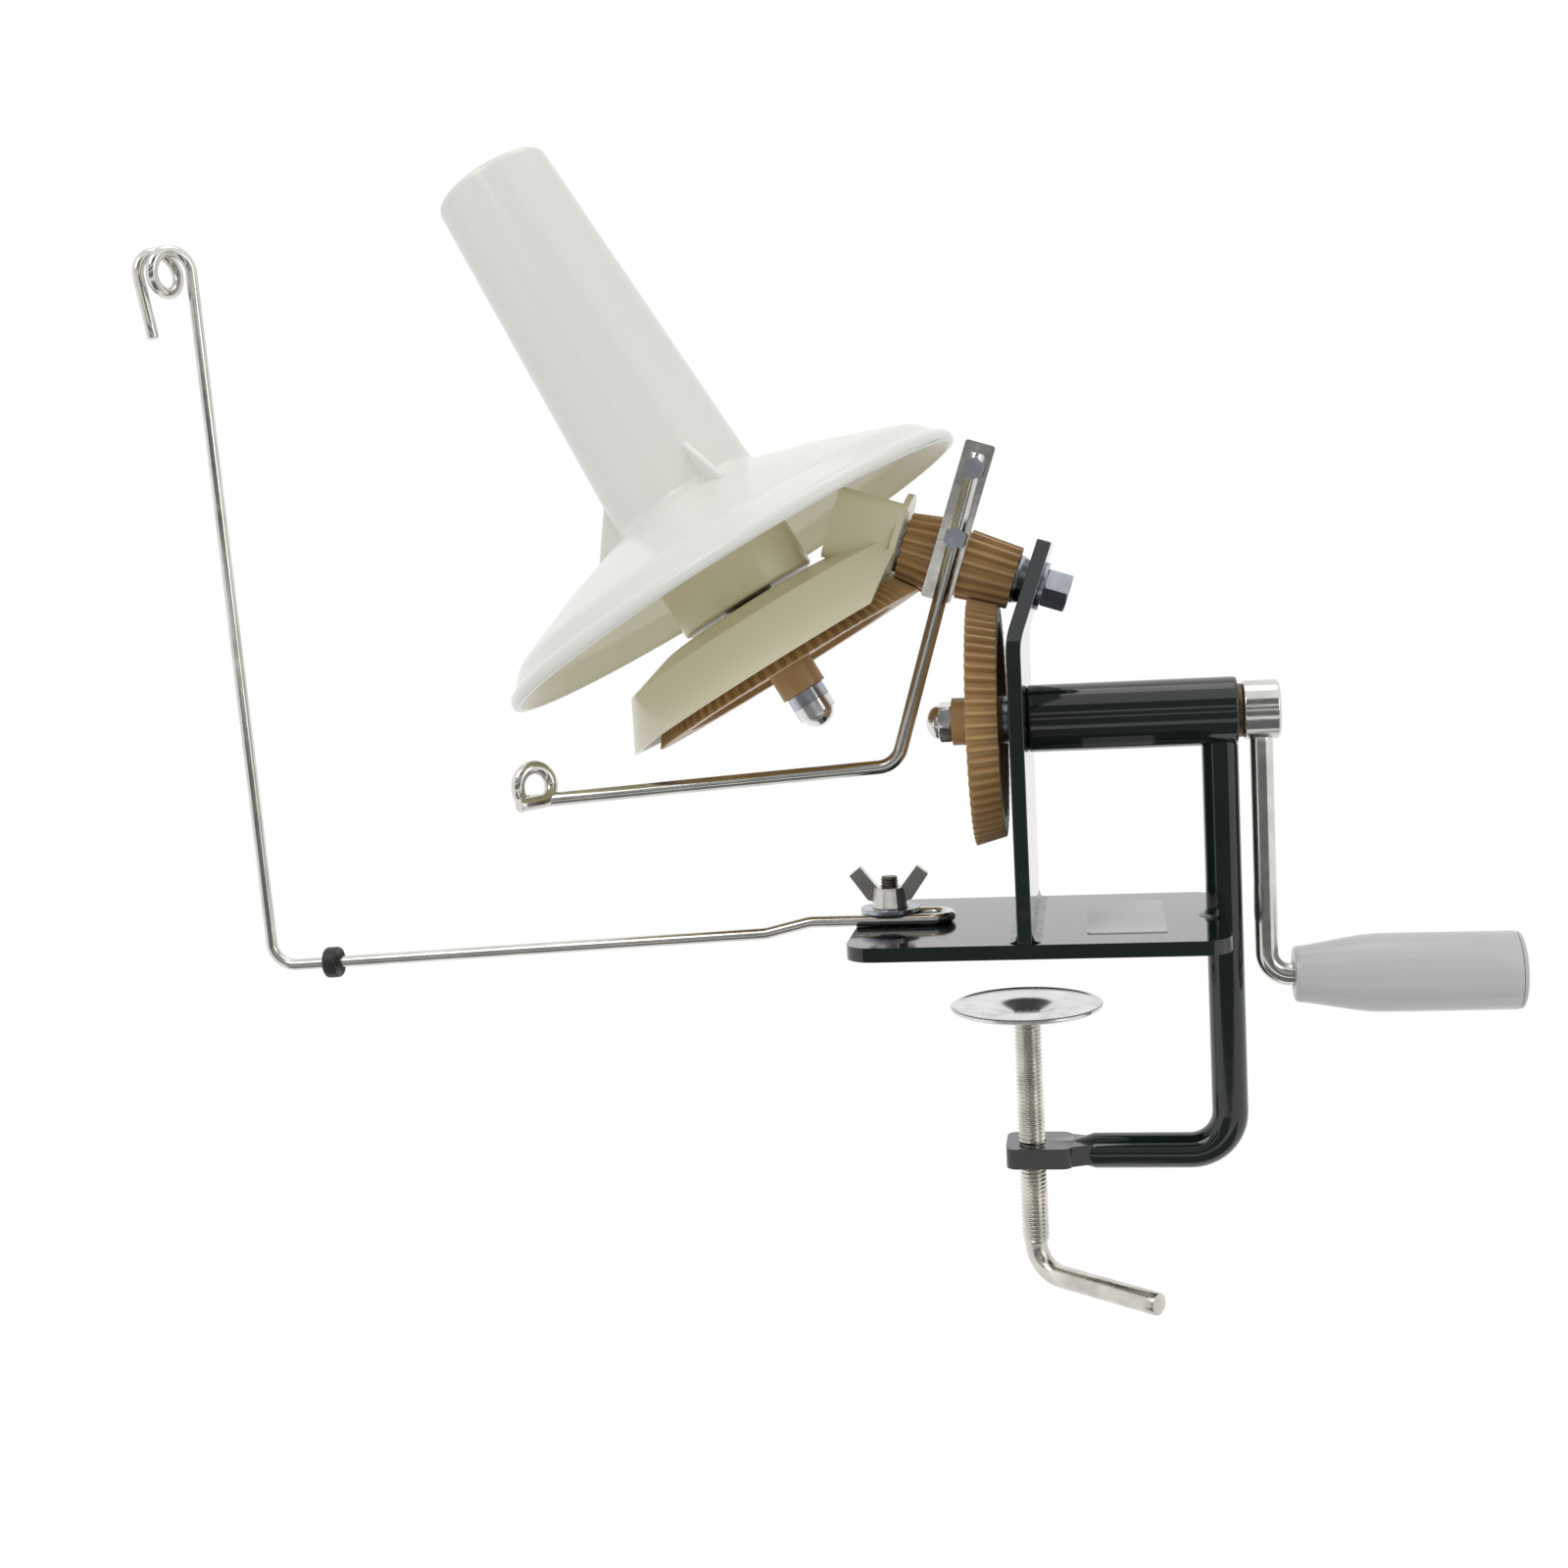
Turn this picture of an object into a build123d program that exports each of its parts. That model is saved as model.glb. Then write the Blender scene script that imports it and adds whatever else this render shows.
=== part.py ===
"""Hand-cranked yarn cone winder, clamped to a table edge.

Millimetres, +Z up. The origin lies on the underside of the base plate, in line with the clamp screw.
The crank axis runs along X with the handle on the +X side; the cone leans up to the left (-X).
The crank, the double pinion and the cone turn about three axes that lie in the plane Y = 0.
"""
from build123d import *
from math import asin, atan, cos, degrees, pi, radians, sin, sqrt, tan
import os

os.makedirs("parts", exist_ok=True)

# ---------------------------------------------------------------- driving dimensions
# frame
plate_thickness = 5.0
base_width = 94.0
base_reach_left = 59.5
base_corner = 10.0
rod_radius = 6.35
post_x = 71.0
crank_height = 77.3
upright_left = -0.3
upright_top_reach = 15.7
upright_top_width = 46.0
upright_bend_radius = 28.0
tube_radius = 12.0
tube_bore_radius = 8.0
tube_length = 72.5
lower_arm_depth = 80.8
lower_arm_bend = 14.5
jaw_reach_left = 9.2
jaw_reach_right = 14.6
jaw_width = 22.0
jaw_thickness = 7.4
jaw_taper = 8.0
weld_leg = 3.0
weld_land = 0.8
label_length = 27.0
label_depth = 60.0
label_thickness = 0.4
label_x = 36.5

# fits
running_clearance = 0.05
bolt_clearance = 0.10
seat_gap = 0.05
side_play = 0.30

# crank
shaft_radius = 5.0
shaft_thread_radius = 4.0
bushing_flange = 1.5
bushing_flange_radius = 9.4
bushing_length = 14.0
collar_radius = 10.3
collar_length = 12.8
arm_radius = 4.0
crank_throw = 94.3
crank_bend = 8.0
grip_gap = 1.0
grip_length = 78.0
grip_neck_radius = 9.9
grip_body_radius = 13.8
grip_swell = 30.0
grip_cap_depth = 2.6
grip_pocket_radius = 9.0
grip_pocket_depth = 9.0
retainer_radius = 7.0
retainer_thickness = 1.2

# gears
tooth_module = 1.28
crank_gear_teeth = 66
pinion_crank_teeth = 17
pinion_plate_teeth = 19
plate_gear_teeth = 81
tooth_tip_height = 0.85
tooth_root_depth = 1.25
tooth_share = 0.41
tooth_flank_angle = 20.0
pinion_tilt = 19.0
cone_tilt = 61.0
crank_gear_gap = 3.9
crank_gear_width = 10.6
crank_gear_web = 4.5
crank_gear_rim = 6.0
crank_gear_hub_radius = 8.5
crank_gear_hub_length = 7.4
crank_mesh_station = 12.6
plate_mesh_station = 40.3
plate_gear_width = 8.0
plate_gear_web = 4.0
plate_gear_drop = 35.8
plate_hub_radius = 8.5
plate_hub_length = 9.0

# pinion, measured along its axis from the bracket's left face
pinion_start = 4.2
pinion_bar_start = 22.9
pinion_bar_end = 33.7
pinion_end = 45.0
pinion_waist_radius = 11.6
sleeve_radius = 5.5
bolt_radius = 4.0
carrier_start = 46.2

# flyer
bar_width = 10.6
bar_thickness = 2.5
bar_seat = 10.5
bar_below = 14.3
bar_above = 41.7
flyer_wire_radius = 2.5
flyer_wire_above = 38.0
flyer_leg = 73.8
flyer_wire_shift = 1.3
flyer_lean = 1.8
flyer_run_length = 134.0
flyer_run_fall = 22.5
flyer_bend = 9.0
flyer_eye_radius = 6.2
flyer_eye_pitch = 5.8
flyer_eye_yaw = 52.0
flyer_tail = 10.0
flyer_screw_high = 32.4
flyer_screw_low = 8.0
flyer_screw_radius = 1.5
flyer_head_flats = 7.0
flyer_head_height = 2.4
flyer_screw_depth = 6.0

# cone spindle, heights along its axis from the plane of the flange rim
spindle_height = 166.5
spindle_top_radius = 21.7
spindle_taper = 2.57
spindle_wall = 2.6
flange_radius = 92.5
flange_joint_height = 31.5
flange_wall = 3.0
rim_height = 4.0
boss_radius = 26.4
boss_drop = 11.0
fin_count = 3
fin_height = 46.0
fin_reach = 41.5
fin_thickness = 2.6
spindle_hub_radius = 9.0
spindle_hub_top = 30.0
axle_radius = 4.0
axle_depth = 24.0

# carrier
carrier_top = 13.6
carrier_flat_radius = 37.0
carrier_shoulder_radius = 55.0
carrier_shoulder_drop = 19.0
carrier_skirt_radius = 64.3
carrier_skirt_drop = 36.6
carrier_wall = 2.8
carrier_hub_radius = 12.0
carrier_hub_drop = 26.5
carrier_disc_radius = 18.6
carrier_disc_thickness = 2.2
carrier_arm_length = 22.5
carrier_arm_below = 11.0
carrier_arm_above = 14.5
carrier_arm_width = 34.0
carrier_arm_wall = 3.0
carrier_end_wall = 6.0
axle_bushing_radius = 6.5

# fasteners
nut_flats = 13.0
nut_height = 5.0
lock_nut_height = 9.0
dome_nut_height = 9.4
washer_radius = 8.6
washer_thickness = 1.5
bolt_head_height = 5.3

# yarn guide
guide_wire_radius = 2.1
guide_half_gap = 7.0
stud_x = -47.7
stud_radius = 3.2
stud_top = 22.0
hairpin_end = -26.1
hairpin_far_end = -59.0
jog_start = -76.5
jog_end = -93.0
jog_low = 3.3
guide_corner_x = -283.7
guide_corner_z = -4.9
guide_top_x = -293.1
guide_top_z = 254.5
guide_bend = 9.0
jog_bend = 14.0
pigtail_radius = 7.4
pigtail_pitch = 7.6
pigtail_yaw = 66.0
pigtail_turns = 1.5
pigtail_tail = 22.0
pigtail_tail_lean = 9.5
guide_washer_radius = 10.8
guide_washer_thickness = 1.5
wing_span = 14.4
wing_height = 15.2
wing_thickness = 4.2
wing_body_radius = 6.6
wing_body_height = 7.4
bead_x = -259.9
bead_radius = 5.8
bead_length = 5.5

# clamp screw and pad
screw_radius = 4.9
screw_handle_radius = 4.0
screw_handle_depth = 126.0
screw_handle_reach = 54.0
screw_handle_yaw = -37.0
screw_bend = 11.0
pad_drop = 25.8
pad_radius = 27.4
pad_sheet = 1.3
pad_dish = 0.8
pad_cup_radius = 12.6
pad_neck_radius = 6.4
pad_cup_depth = 6.4
screw_tip_radius = 3.0
screw_tip_head_radius = 4.4
screw_tip_head_height = 1.4

# ---------------------------------------------------------------- derived places
base_right = post_x
upright_right = upright_left + plate_thickness
tube_left = upright_right
tube_right = tube_left + tube_length
collar_left = tube_right + bushing_flange + seat_gap
arm_x = collar_left + collar_length / 2
grip_start = arm_x + crank_bend + grip_gap
grip_axis_z = crank_height - crank_throw


def tilted(angle):
    """The direction of an axis that rises to the left at this angle, as a unit vector."""
    return Vector(-cos(radians(angle)), 0, sin(radians(angle)))


def across(angle):
    """The direction square to that axis, in the plane Y = 0, on its upper side."""
    return Vector(sin(radians(angle)), 0, cos(radians(angle)))


def axis_plane(point, angle):
    """A plane square to a tilted axis: local Z runs up the axis, local X to its upper side, local Y is +Y."""
    return Plane(origin=point, x_dir=across(angle), z_dir=tilted(angle))


def bevel_angles(driver_teeth, driven_teeth, shaft_angle):
    """Half angles, in degrees, of the two pitch cones of a gear pair whose axes meet at shaft_angle."""
    turn = radians(shaft_angle)
    driver = atan(sin(turn) / (driven_teeth / driver_teeth + cos(turn)))
    return degrees(driver), shaft_angle - degrees(driver)


# crank gear and the right-hand section of the pinion: their cones meet on the crank axis
crank_gear_radius = tooth_module * crank_gear_teeth / 2
crank_cone, pinion_cone_right = bevel_angles(crank_gear_teeth, pinion_crank_teeth, pinion_tilt)
crank_gear_right = upright_left - crank_gear_gap
crank_gear_left = crank_gear_right - crank_gear_width
crank_gear_middle = (crank_gear_left + crank_gear_right) / 2
crank_apex_x = crank_gear_middle + crank_gear_radius / tan(radians(crank_cone))
pinion_mesh_distance = crank_gear_radius / sin(radians(crank_cone)) * cos(radians(pinion_cone_right))
pinion_mesh_radius = tooth_module * pinion_crank_teeth / 2


def pinion_point(station):
    """The point on the pinion axis this far from the bracket's left face."""
    apex = Vector(crank_apex_x, 0, crank_height)
    return apex + tilted(pinion_tilt) * (pinion_mesh_distance - crank_mesh_station + station)


def pinion_plane(station):
    return axis_plane(pinion_point(station), pinion_tilt)


# plate gear and the left-hand section of the pinion: their cones meet on the cone axis
plate_gear_radius = tooth_module * plate_gear_teeth / 2
plate_cone, pinion_cone_left = bevel_angles(plate_gear_teeth, pinion_plate_teeth, cone_tilt - pinion_tilt)
plate_apex_distance = plate_gear_radius / tan(radians(plate_cone))
pinion_left_distance = plate_gear_radius / sin(radians(plate_cone)) * cos(radians(pinion_cone_left))
cone_apex = pinion_point(plate_mesh_station + pinion_left_distance)


def cone_point(height):
    """The point on the cone axis at this height above the plane of the flange rim."""
    return cone_apex + tilted(cone_tilt) * (height + plate_gear_drop - plate_apex_distance)


def cone_plane(height):
    return axis_plane(cone_point(height), cone_tilt)


def x_plane(x, height):
    """A plane square to X at this height: local Z runs to -X, local X up."""
    return axis_plane(Vector(x, 0, height), 0)


def crank_plane(x):
    return x_plane(x, crank_height)


# a half section is drawn in a plane that holds the axis: local X is the radius, local Y runs up the axis
def section_plane(point, angle, turn=0):
    out = across(angle) * cos(radians(turn)) + Vector(0, sin(radians(turn)), 0)
    return Plane(origin=point, x_dir=out, z_dir=out.cross(tilted(angle)))


def tooth_outline(teeth, pitch_radius, phase):
    """Corners of a toothed wheel with straight flanks; a tooth is centred on the angle phase."""
    pitch_angle = 360 / teeth
    half_pitch = pitch_angle * tooth_share / 2
    lean = tan(radians(tooth_flank_angle))
    tip = pitch_radius + tooth_tip_height
    root = pitch_radius - tooth_root_depth
    half_tip = half_pitch - degrees(tooth_tip_height * lean / pitch_radius)
    half_root = half_pitch + degrees(tooth_root_depth * lean / pitch_radius)
    corners = []
    for number in range(teeth):
        centre = phase + number * pitch_angle
        for radius, turn in ((root, -half_root), (tip, -half_tip), (tip, half_tip), (root, half_root)):
            angle = radians(centre + turn)
            corners.append((radius * cos(angle), radius * sin(angle)))
    return corners


def toothed_body(plane_at, start, end, middle, cone, teeth, pitch_radius, phase):
    """Adds a bevel wheel between two stations of an axis to the part in hand.

    cone is the half angle of the wheel's taper, positive where the wheel widens along the axis.
    """
    faces = []
    for station in (start, end):
        scale_here = 1 + (station - middle) * tan(radians(cone)) / pitch_radius
        points = [(x * scale_here, y * scale_here) for x, y in tooth_outline(teeth, pitch_radius, phase)]
        with BuildSketch(plane_at(station)) as outline:
            with BuildLine():
                Polyline(*points, close=True)
            make_face()
        faces.append(outline.sketch.face())
    loft(sections=faces, ruled=True)


def arc_middle(start, way, end):
    """The middle of the circular arc that leaves start along way and ends at end."""
    chord = end - start
    along = chord.normalized()
    rise = way - along * way.dot(along)
    half_angle = radians(way.get_angle(along)) / 2
    return (start + end) * 0.5 + rise.normalized() * (chord.length / 2 * tan(half_angle))


def smooth_pair(start, start_way, end, end_way):
    """Two arcs that meet smoothly and keep the given directions at both ends, added to the line in hand."""
    span = end - start
    both = start_way + end_way
    share = 2 * (1 - start_way.dot(end_way))
    reach = (sqrt(span.dot(both) ** 2 + share * span.dot(span)) - span.dot(both)) / share
    joint = (start + start_way * reach + end - end_way * reach) * 0.5
    ThreePointArc(start, arc_middle(start, start_way, joint), joint)
    ThreePointArc(joint, arc_middle(end, end_way * -1, joint), end)


def coil_turns(start, way, centre, side, rise, axis, radius, pitch, first_angle, quarters):
    """Adds quarter turns of a coil to the line in hand and returns its end and the direction there."""
    climb = pitch / (2 * pi * radius)
    here = start
    for number in range(1, quarters + 1):
        angle = radians(first_angle + 90 * number)
        there = centre + (side * cos(angle) + rise * sin(angle)) * radius + axis * (pitch * number / 4)
        there_way = (rise * cos(angle) - side * sin(angle) + axis * climb).normalized()
        if number == quarters:
            there_way = (rise * cos(angle) - side * sin(angle)).normalized()
        smooth_pair(here, way, there, there_way)
        here, way = there, there_way
    return here, way


def hexagon_nut(name, plane, flats, height, bore, chamfer_size=0.6):
    """A hexagon nut that stands on plane, its outer corners rounded off on both faces."""
    with BuildPart() as nut:
        with BuildSketch(plane):
            RegularPolygon(flats / 2, 6, major_radius=False)
            Circle(bore, mode=Mode.SUBTRACT)
        extrude(amount=height)
        with BuildSketch(plane):
            Circle(flats / 2 / cos(pi / 6) - chamfer_size / 2)
        extrude(amount=height, mode=Mode.INTERSECT)
    nut.part.label = name
    return nut.part


def dome_nut(name, plane, flats, height, bore, thread_depth):
    """A hexagon nut closed by a dome."""
    hexagon = height * 0.5
    dome_radius = flats / 2 - 0.4
    with BuildPart() as nut:
        with BuildSketch(plane):
            RegularPolygon(flats / 2, 6, major_radius=False)
        extrude(amount=hexagon)
        with BuildSketch(plane):
            Circle(flats / 2 / cos(pi / 6) - 0.4)
        extrude(amount=hexagon, mode=Mode.INTERSECT)
        profile = Plane(origin=plane.origin, x_dir=plane.x_dir, z_dir=plane.x_dir.cross(plane.z_dir))
        rise = height - hexagon
        ball = (dome_radius ** 2 + rise ** 2) / (2 * rise)
        half_angle = asin(dome_radius / ball) / 2
        with BuildSketch(profile):
            with BuildLine():
                Polyline((0, height), (0, 0.5), (dome_radius, 0.5), (dome_radius, hexagon))
                ThreePointArc(
                    (dome_radius, hexagon),
                    (ball * sin(half_angle), height - ball + ball * cos(half_angle)),
                    (0, height),
                )
            make_face()
        revolve(axis=Axis(plane.origin, plane.z_dir))
        with BuildSketch(plane):
            Circle(bore)
        extrude(amount=thread_depth, mode=Mode.SUBTRACT)
    nut.part.label = name
    return nut.part


def ring(name, plane, inner, outer, height, edge=0.0):
    """A plain ring that stands on plane."""
    with BuildPart() as washer:
        with BuildSketch(plane):
            Circle(outer)
            Circle(inner, mode=Mode.SUBTRACT)
        extrude(amount=height)
        if edge:
            outer_edges = washer.edges().filter_by(GeomType.CIRCLE).group_by(SortBy.RADIUS)[-1]
            chamfer(outer_edges, edge)
    washer.part.label = name
    return washer.part


def save(part):
    export_step(part, f"parts/{part.label}.step")


# ================================================================ frame
# base plate, notched round the post at its right end
with BuildPart() as base_plate:
    with BuildSketch():
        with Locations(((base_right - base_reach_left) / 2, 0)):
            RectangleRounded(base_right + base_reach_left, base_width, base_corner)
    extrude(amount=plate_thickness)
    with BuildSketch():
        with Locations((post_x, 0)):
            Circle(rod_radius + seat_gap)
        with Locations((stud_x, 0)):
            Circle(stud_radius + seat_gap)
    extrude(amount=plate_thickness, mode=Mode.SUBTRACT)
base_plate.part.label = "base_plate"
save(base_plate.part)

# upright: one plate, bent to the pinion's tilt, narrowed towards its top
plate_on_bolt = pinion_point(-plate_thickness / 2)
upright_middle = upright_left + plate_thickness / 2
bend_run = (plate_on_bolt.X - upright_middle) / sin(radians(pinion_tilt))
bend_point = plate_on_bolt - across(pinion_tilt) * bend_run
top_point = plate_on_bolt + across(pinion_tilt) * upright_top_reach
with BuildPart() as upright_bracket:
    with BuildSketch(Plane.XZ):
        with BuildLine() as upright_line:
            FilletPolyline(
                (upright_middle, plate_thickness),
                (bend_point.X, bend_point.Z),
                (top_point.X, top_point.Z),
                radius=upright_bend_radius,
            )
        trace(upright_line.line, plate_thickness)
    extrude(amount=base_width / 2, both=True)
    with BuildSketch(Plane.YZ):
        for side in (-1, 1):
            with BuildLine():
                Polyline(
                    (side * (base_width / 2 + 1), bend_point.Z),
                    (side * base_width / 2, bend_point.Z),
                    (side * upright_top_width / 2, top_point.Z + plate_thickness),
                    (side * (base_width / 2 + 1), top_point.Z + plate_thickness),
                    close=True,
                )
            make_face()
    extrude(amount=base_width, both=True, mode=Mode.SUBTRACT)
    with BuildSketch(pinion_plane(-plate_thickness - 1)):
        Circle(bolt_radius + bolt_clearance)
    extrude(amount=plate_thickness + 2, mode=Mode.SUBTRACT)
    with BuildSketch(crank_plane(upright_right + 1)):
        Circle(tube_bore_radius)
    extrude(amount=plate_thickness + 2, mode=Mode.SUBTRACT)
upright_bracket.part.label = "upright_bracket"
save(upright_bracket.part)

# bearing tube, welded to the upright's right face
save(ring("bearing_tube", crank_plane(tube_right), tube_bore_radius, tube_radius, tube_length, 0.6))

# two flanged bushings, one in each end of the tube; the left one also lines the upright
with BuildPart() as crank_bushings:
    for face, inward in ((tube_right, 1), (upright_left, -1)):
        with BuildSketch(crank_plane(face)):
            Circle(tube_bore_radius)
            Circle(shaft_radius + running_clearance, mode=Mode.SUBTRACT)
        extrude(amount=inward * bushing_length)
        with BuildSketch(crank_plane(face)):
            Circle(bushing_flange_radius)
            Circle(shaft_radius + running_clearance, mode=Mode.SUBTRACT)
        extrude(amount=-inward * bushing_flange)
crank_bushings.part.label = "crank_bushings"
save(crank_bushings.part)

# clamp rod: post under the tube, bend, lower arm and a forged flat jaw with the screw's thread
with BuildPart() as clamp_rod:
    with BuildLine(Plane.XZ) as rod_line:
        FilletPolyline(
            (post_x, crank_height),
            (post_x, -lower_arm_depth),
            (jaw_reach_right + jaw_taper, -lower_arm_depth),
            radius=lower_arm_bend,
        )
    with BuildSketch(Plane(origin=(post_x, 0, crank_height), z_dir=(0, 0, -1))):
        Circle(rod_radius)
    sweep(path=rod_line.line)
    with BuildSketch(Plane.XZ):
        with BuildLine():
            Polyline(
                (jaw_reach_right - 1, -lower_arm_depth),
                (jaw_reach_right + jaw_taper, -lower_arm_depth),
                (jaw_reach_right + jaw_taper, -lower_arm_depth + rod_radius),
                (jaw_reach_right - 1, -lower_arm_depth + jaw_thickness / 2 - 0.1),
                close=True,
            )
        make_face()
    revolve(axis=Axis((0, 0, -lower_arm_depth), (1, 0, 0)))
    with BuildSketch(Plane.XY.offset(-lower_arm_depth - jaw_thickness / 2)):
        with BuildLine():
            Polyline(
                (jaw_reach_right - 2, jaw_width / 2 - 2),
                (jaw_reach_right + jaw_taper + 1, rod_radius * 0.7),
                (jaw_reach_right + jaw_taper + 1, -rod_radius * 0.7),
                (jaw_reach_right - 2, -jaw_width / 2 + 2),
                close=True,
            )
        make_face()
    extrude(amount=jaw_thickness)
    with BuildSketch(Plane.XY.offset(-lower_arm_depth - jaw_thickness / 2)):
        with Locations(((jaw_reach_right - jaw_reach_left) / 2, 0)):
            RectangleRounded(jaw_reach_right + jaw_reach_left, jaw_width, 4.0)
    extrude(amount=jaw_thickness)
    with BuildSketch(Plane.XY.offset(-lower_arm_depth - jaw_thickness)):
        Circle(screw_radius + running_clearance)
    extrude(amount=2 * jaw_thickness, mode=Mode.SUBTRACT)
    with BuildSketch(crank_plane(tube_right + 1)):
        Circle(tube_radius)
    extrude(amount=tube_length, mode=Mode.SUBTRACT)
clamp_rod.part.label = "clamp_rod"
save(clamp_rod.part)

# weld beads: both sides of the upright's foot, round the post on the plate, and under the tube
with BuildPart() as weld_beads:
    for face, side in ((upright_left, -1), (upright_right, 1)):
        with BuildSketch(Plane.XZ):
            with BuildLine():
                Polyline(
                    (face, plate_thickness),
                    (face + side * weld_leg, plate_thickness),
                    (face + side * weld_land, plate_thickness + weld_land),
                    (face, plate_thickness + weld_leg),
                    close=True,
                )
            make_face()
        extrude(amount=base_width / 2 - weld_leg, both=True)
    with BuildSketch(Plane(origin=(post_x, 0, plate_thickness), x_dir=(-1, 0, 0), z_dir=(0, 1, 0))):
        with BuildLine():
            Polyline(
                (rod_radius, 0),
                (rod_radius + weld_leg, 0),
                (rod_radius + weld_land, weld_land),
                (rod_radius, weld_leg),
                close=True,
            )
        make_face()
    revolve(axis=Axis((post_x, 0, 0), (0, 0, 1)), revolution_arc=70)
    with BuildSketch(Plane(origin=(post_x, 0, plate_thickness), x_dir=(-1, 0, 0), z_dir=(0, 1, 0))):
        with BuildLine():
            Polyline(
                (rod_radius, 0),
                (rod_radius + weld_leg, 0),
                (rod_radius + weld_land, weld_land),
                (rod_radius, weld_leg),
                close=True,
            )
        make_face()
    revolve(axis=Axis((post_x, 0, 0), (0, 0, 1)), revolution_arc=-70)
weld_beads.part.label = "weld_beads"
save(weld_beads.part)

# blank label plate on the base
with BuildPart() as label_plate:
    with BuildSketch(Plane.XY.offset(plate_thickness)):
        with Locations((label_x, 0)):
            RectangleRounded(label_length, label_depth, 1.5)
    extrude(amount=label_thickness)
label_plate.part.label = "label_plate"
save(label_plate.part)

# threaded stud for the yarn guide, flush with the base's underside
with BuildPart() as guide_stud:
    with BuildSketch(Plane.XY):
        with Locations((stud_x, 0)):
            Circle(stud_radius)
    extrude(amount=stud_top)
    chamfer(guide_stud.edges().group_by(Axis.Z)[-1], 0.6)
guide_stud.part.label = "guide_stud"
save(guide_stud.part)

# ================================================================ crank
# shaft: a plain journal with a thinner threaded end that carries the gear
crank_hub_left = crank_gear_left - crank_gear_hub_length
with BuildPart() as crank_shaft:
    with BuildSketch(crank_plane(crank_gear_right)):
        Circle(shaft_radius)
    extrude(amount=crank_gear_right - collar_left - collar_length)
    chamfer(crank_shaft.edges().group_by(Axis.X)[-1], 0.5)
    with BuildSketch(crank_plane(crank_gear_right)):
        Circle(shaft_thread_radius)
    extrude(amount=crank_gear_right - crank_hub_left + dome_nut_height * 0.6)
crank_shaft.part.label = "crank_shaft"
save(crank_shaft.part)

# collar that joins the arm to the shaft
with BuildPart() as crank_collar:
    with BuildSketch(crank_plane(collar_left + collar_length)):
        Circle(collar_radius)
    extrude(amount=collar_length)
    chamfer(crank_collar.edges().filter_by(GeomType.CIRCLE), 0.8)
    with BuildSketch(crank_plane(collar_left + collar_length)):
        Circle(shaft_radius + seat_gap)
    extrude(amount=collar_length, mode=Mode.SUBTRACT)
    with BuildSketch(Plane.XY.offset(crank_height)):
        with Locations((arm_x, 0)):
            Circle(arm_radius + seat_gap)
    extrude(amount=-collar_radius - 1, mode=Mode.SUBTRACT)
crank_collar.part.label = "crank_collar"
save(crank_collar.part)

# arm: one rod, from the collar down and through the grip
grip_end = grip_start + grip_length
arm_end = grip_end - grip_pocket_depth + retainer_thickness + 2.0
arm_top = crank_height - shaft_radius - side_play
with BuildPart() as crank_arm:
    with BuildLine(Plane.XZ) as arm_line:
        FilletPolyline(
            (arm_x, arm_top),
            (arm_x, grip_axis_z),
            (arm_end, grip_axis_z),
            radius=crank_bend,
        )
    with BuildSketch(Plane(origin=(arm_x, 0, arm_top), z_dir=(0, 0, -1))):
        Circle(arm_radius)
    sweep(path=arm_line.line)
crank_arm.part.label = "crank_arm"
save(crank_arm.part)

# crank gear: toothed rim, web and hub; the web's right side is recessed
with BuildPart() as crank_gear:
    toothed_body(
        crank_plane, crank_gear_left, crank_gear_right, crank_gear_middle, -crank_cone,
        crank_gear_teeth, crank_gear_radius, 0,
    )
    with BuildSketch(crank_plane(crank_gear_right)):
        Circle(crank_gear_radius - tooth_root_depth - crank_gear_rim)
        Circle(crank_gear_hub_radius, mode=Mode.SUBTRACT)
    extrude(amount=crank_gear_width - crank_gear_web, mode=Mode.SUBTRACT)
    with BuildSketch(crank_plane(crank_gear_left)):
        Circle(crank_gear_hub_radius)
    extrude(amount=crank_gear_hub_length)
    with BuildSketch(crank_plane(crank_gear_right)):
        Circle(shaft_thread_radius + seat_gap)
    extrude(amount=crank_gear_width + crank_gear_hub_length, mode=Mode.SUBTRACT)
crank_gear.part.label = "crank_gear"
save(crank_gear.part)

thrust_thickness = crank_gear_gap - bushing_flange - side_play
save(ring("crank_gear_washer", crank_plane(crank_gear_right + thrust_thickness),
          shaft_radius + seat_gap, crank_gear_hub_radius, thrust_thickness))
save(dome_nut("crank_dome_nut", crank_plane(crank_hub_left), nut_flats, dome_nut_height,
              shaft_thread_radius + seat_gap, dome_nut_height * 0.7))

# grip, turning on the arm, with a washer that keeps it on and a cap over its pocket
grip_centre = Vector(grip_start, 0, grip_axis_z)
with BuildPart() as grip:
    with BuildSketch(Plane.XZ):
        with BuildLine():
            side_line = Polyline(
                (grip_end - grip_cap_depth, grip_axis_z),
                (grip_start, grip_axis_z),
                (grip_start, grip_axis_z + grip_neck_radius - 1.5),
                (grip_start + 1.5, grip_axis_z + grip_neck_radius),
            )
            swell = Spline(
                side_line @ 1,
                (grip_start + grip_swell * 0.5, grip_axis_z + grip_neck_radius * 0.45 + grip_body_radius * 0.55),
                (grip_start + grip_swell, grip_axis_z + grip_body_radius),
                tangents=((1, 0.05), (1, 0)),
            )
            Polyline(
                swell @ 1,
                (grip_end - grip_cap_depth, grip_axis_z + grip_body_radius),
                (grip_end - grip_cap_depth, grip_axis_z),
            )
        make_face()
    revolve(axis=Axis(grip_centre, (1, 0, 0)))
    with BuildSketch(x_plane(grip_end, grip_axis_z)):
        Circle(arm_radius + bolt_clearance)
    extrude(amount=grip_length, mode=Mode.SUBTRACT)
    with BuildSketch(x_plane(grip_end, grip_axis_z)):
        Circle(grip_pocket_radius)
    extrude(amount=grip_pocket_depth, mode=Mode.SUBTRACT)
grip.part.label = "grip"
save(grip.part)

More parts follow.
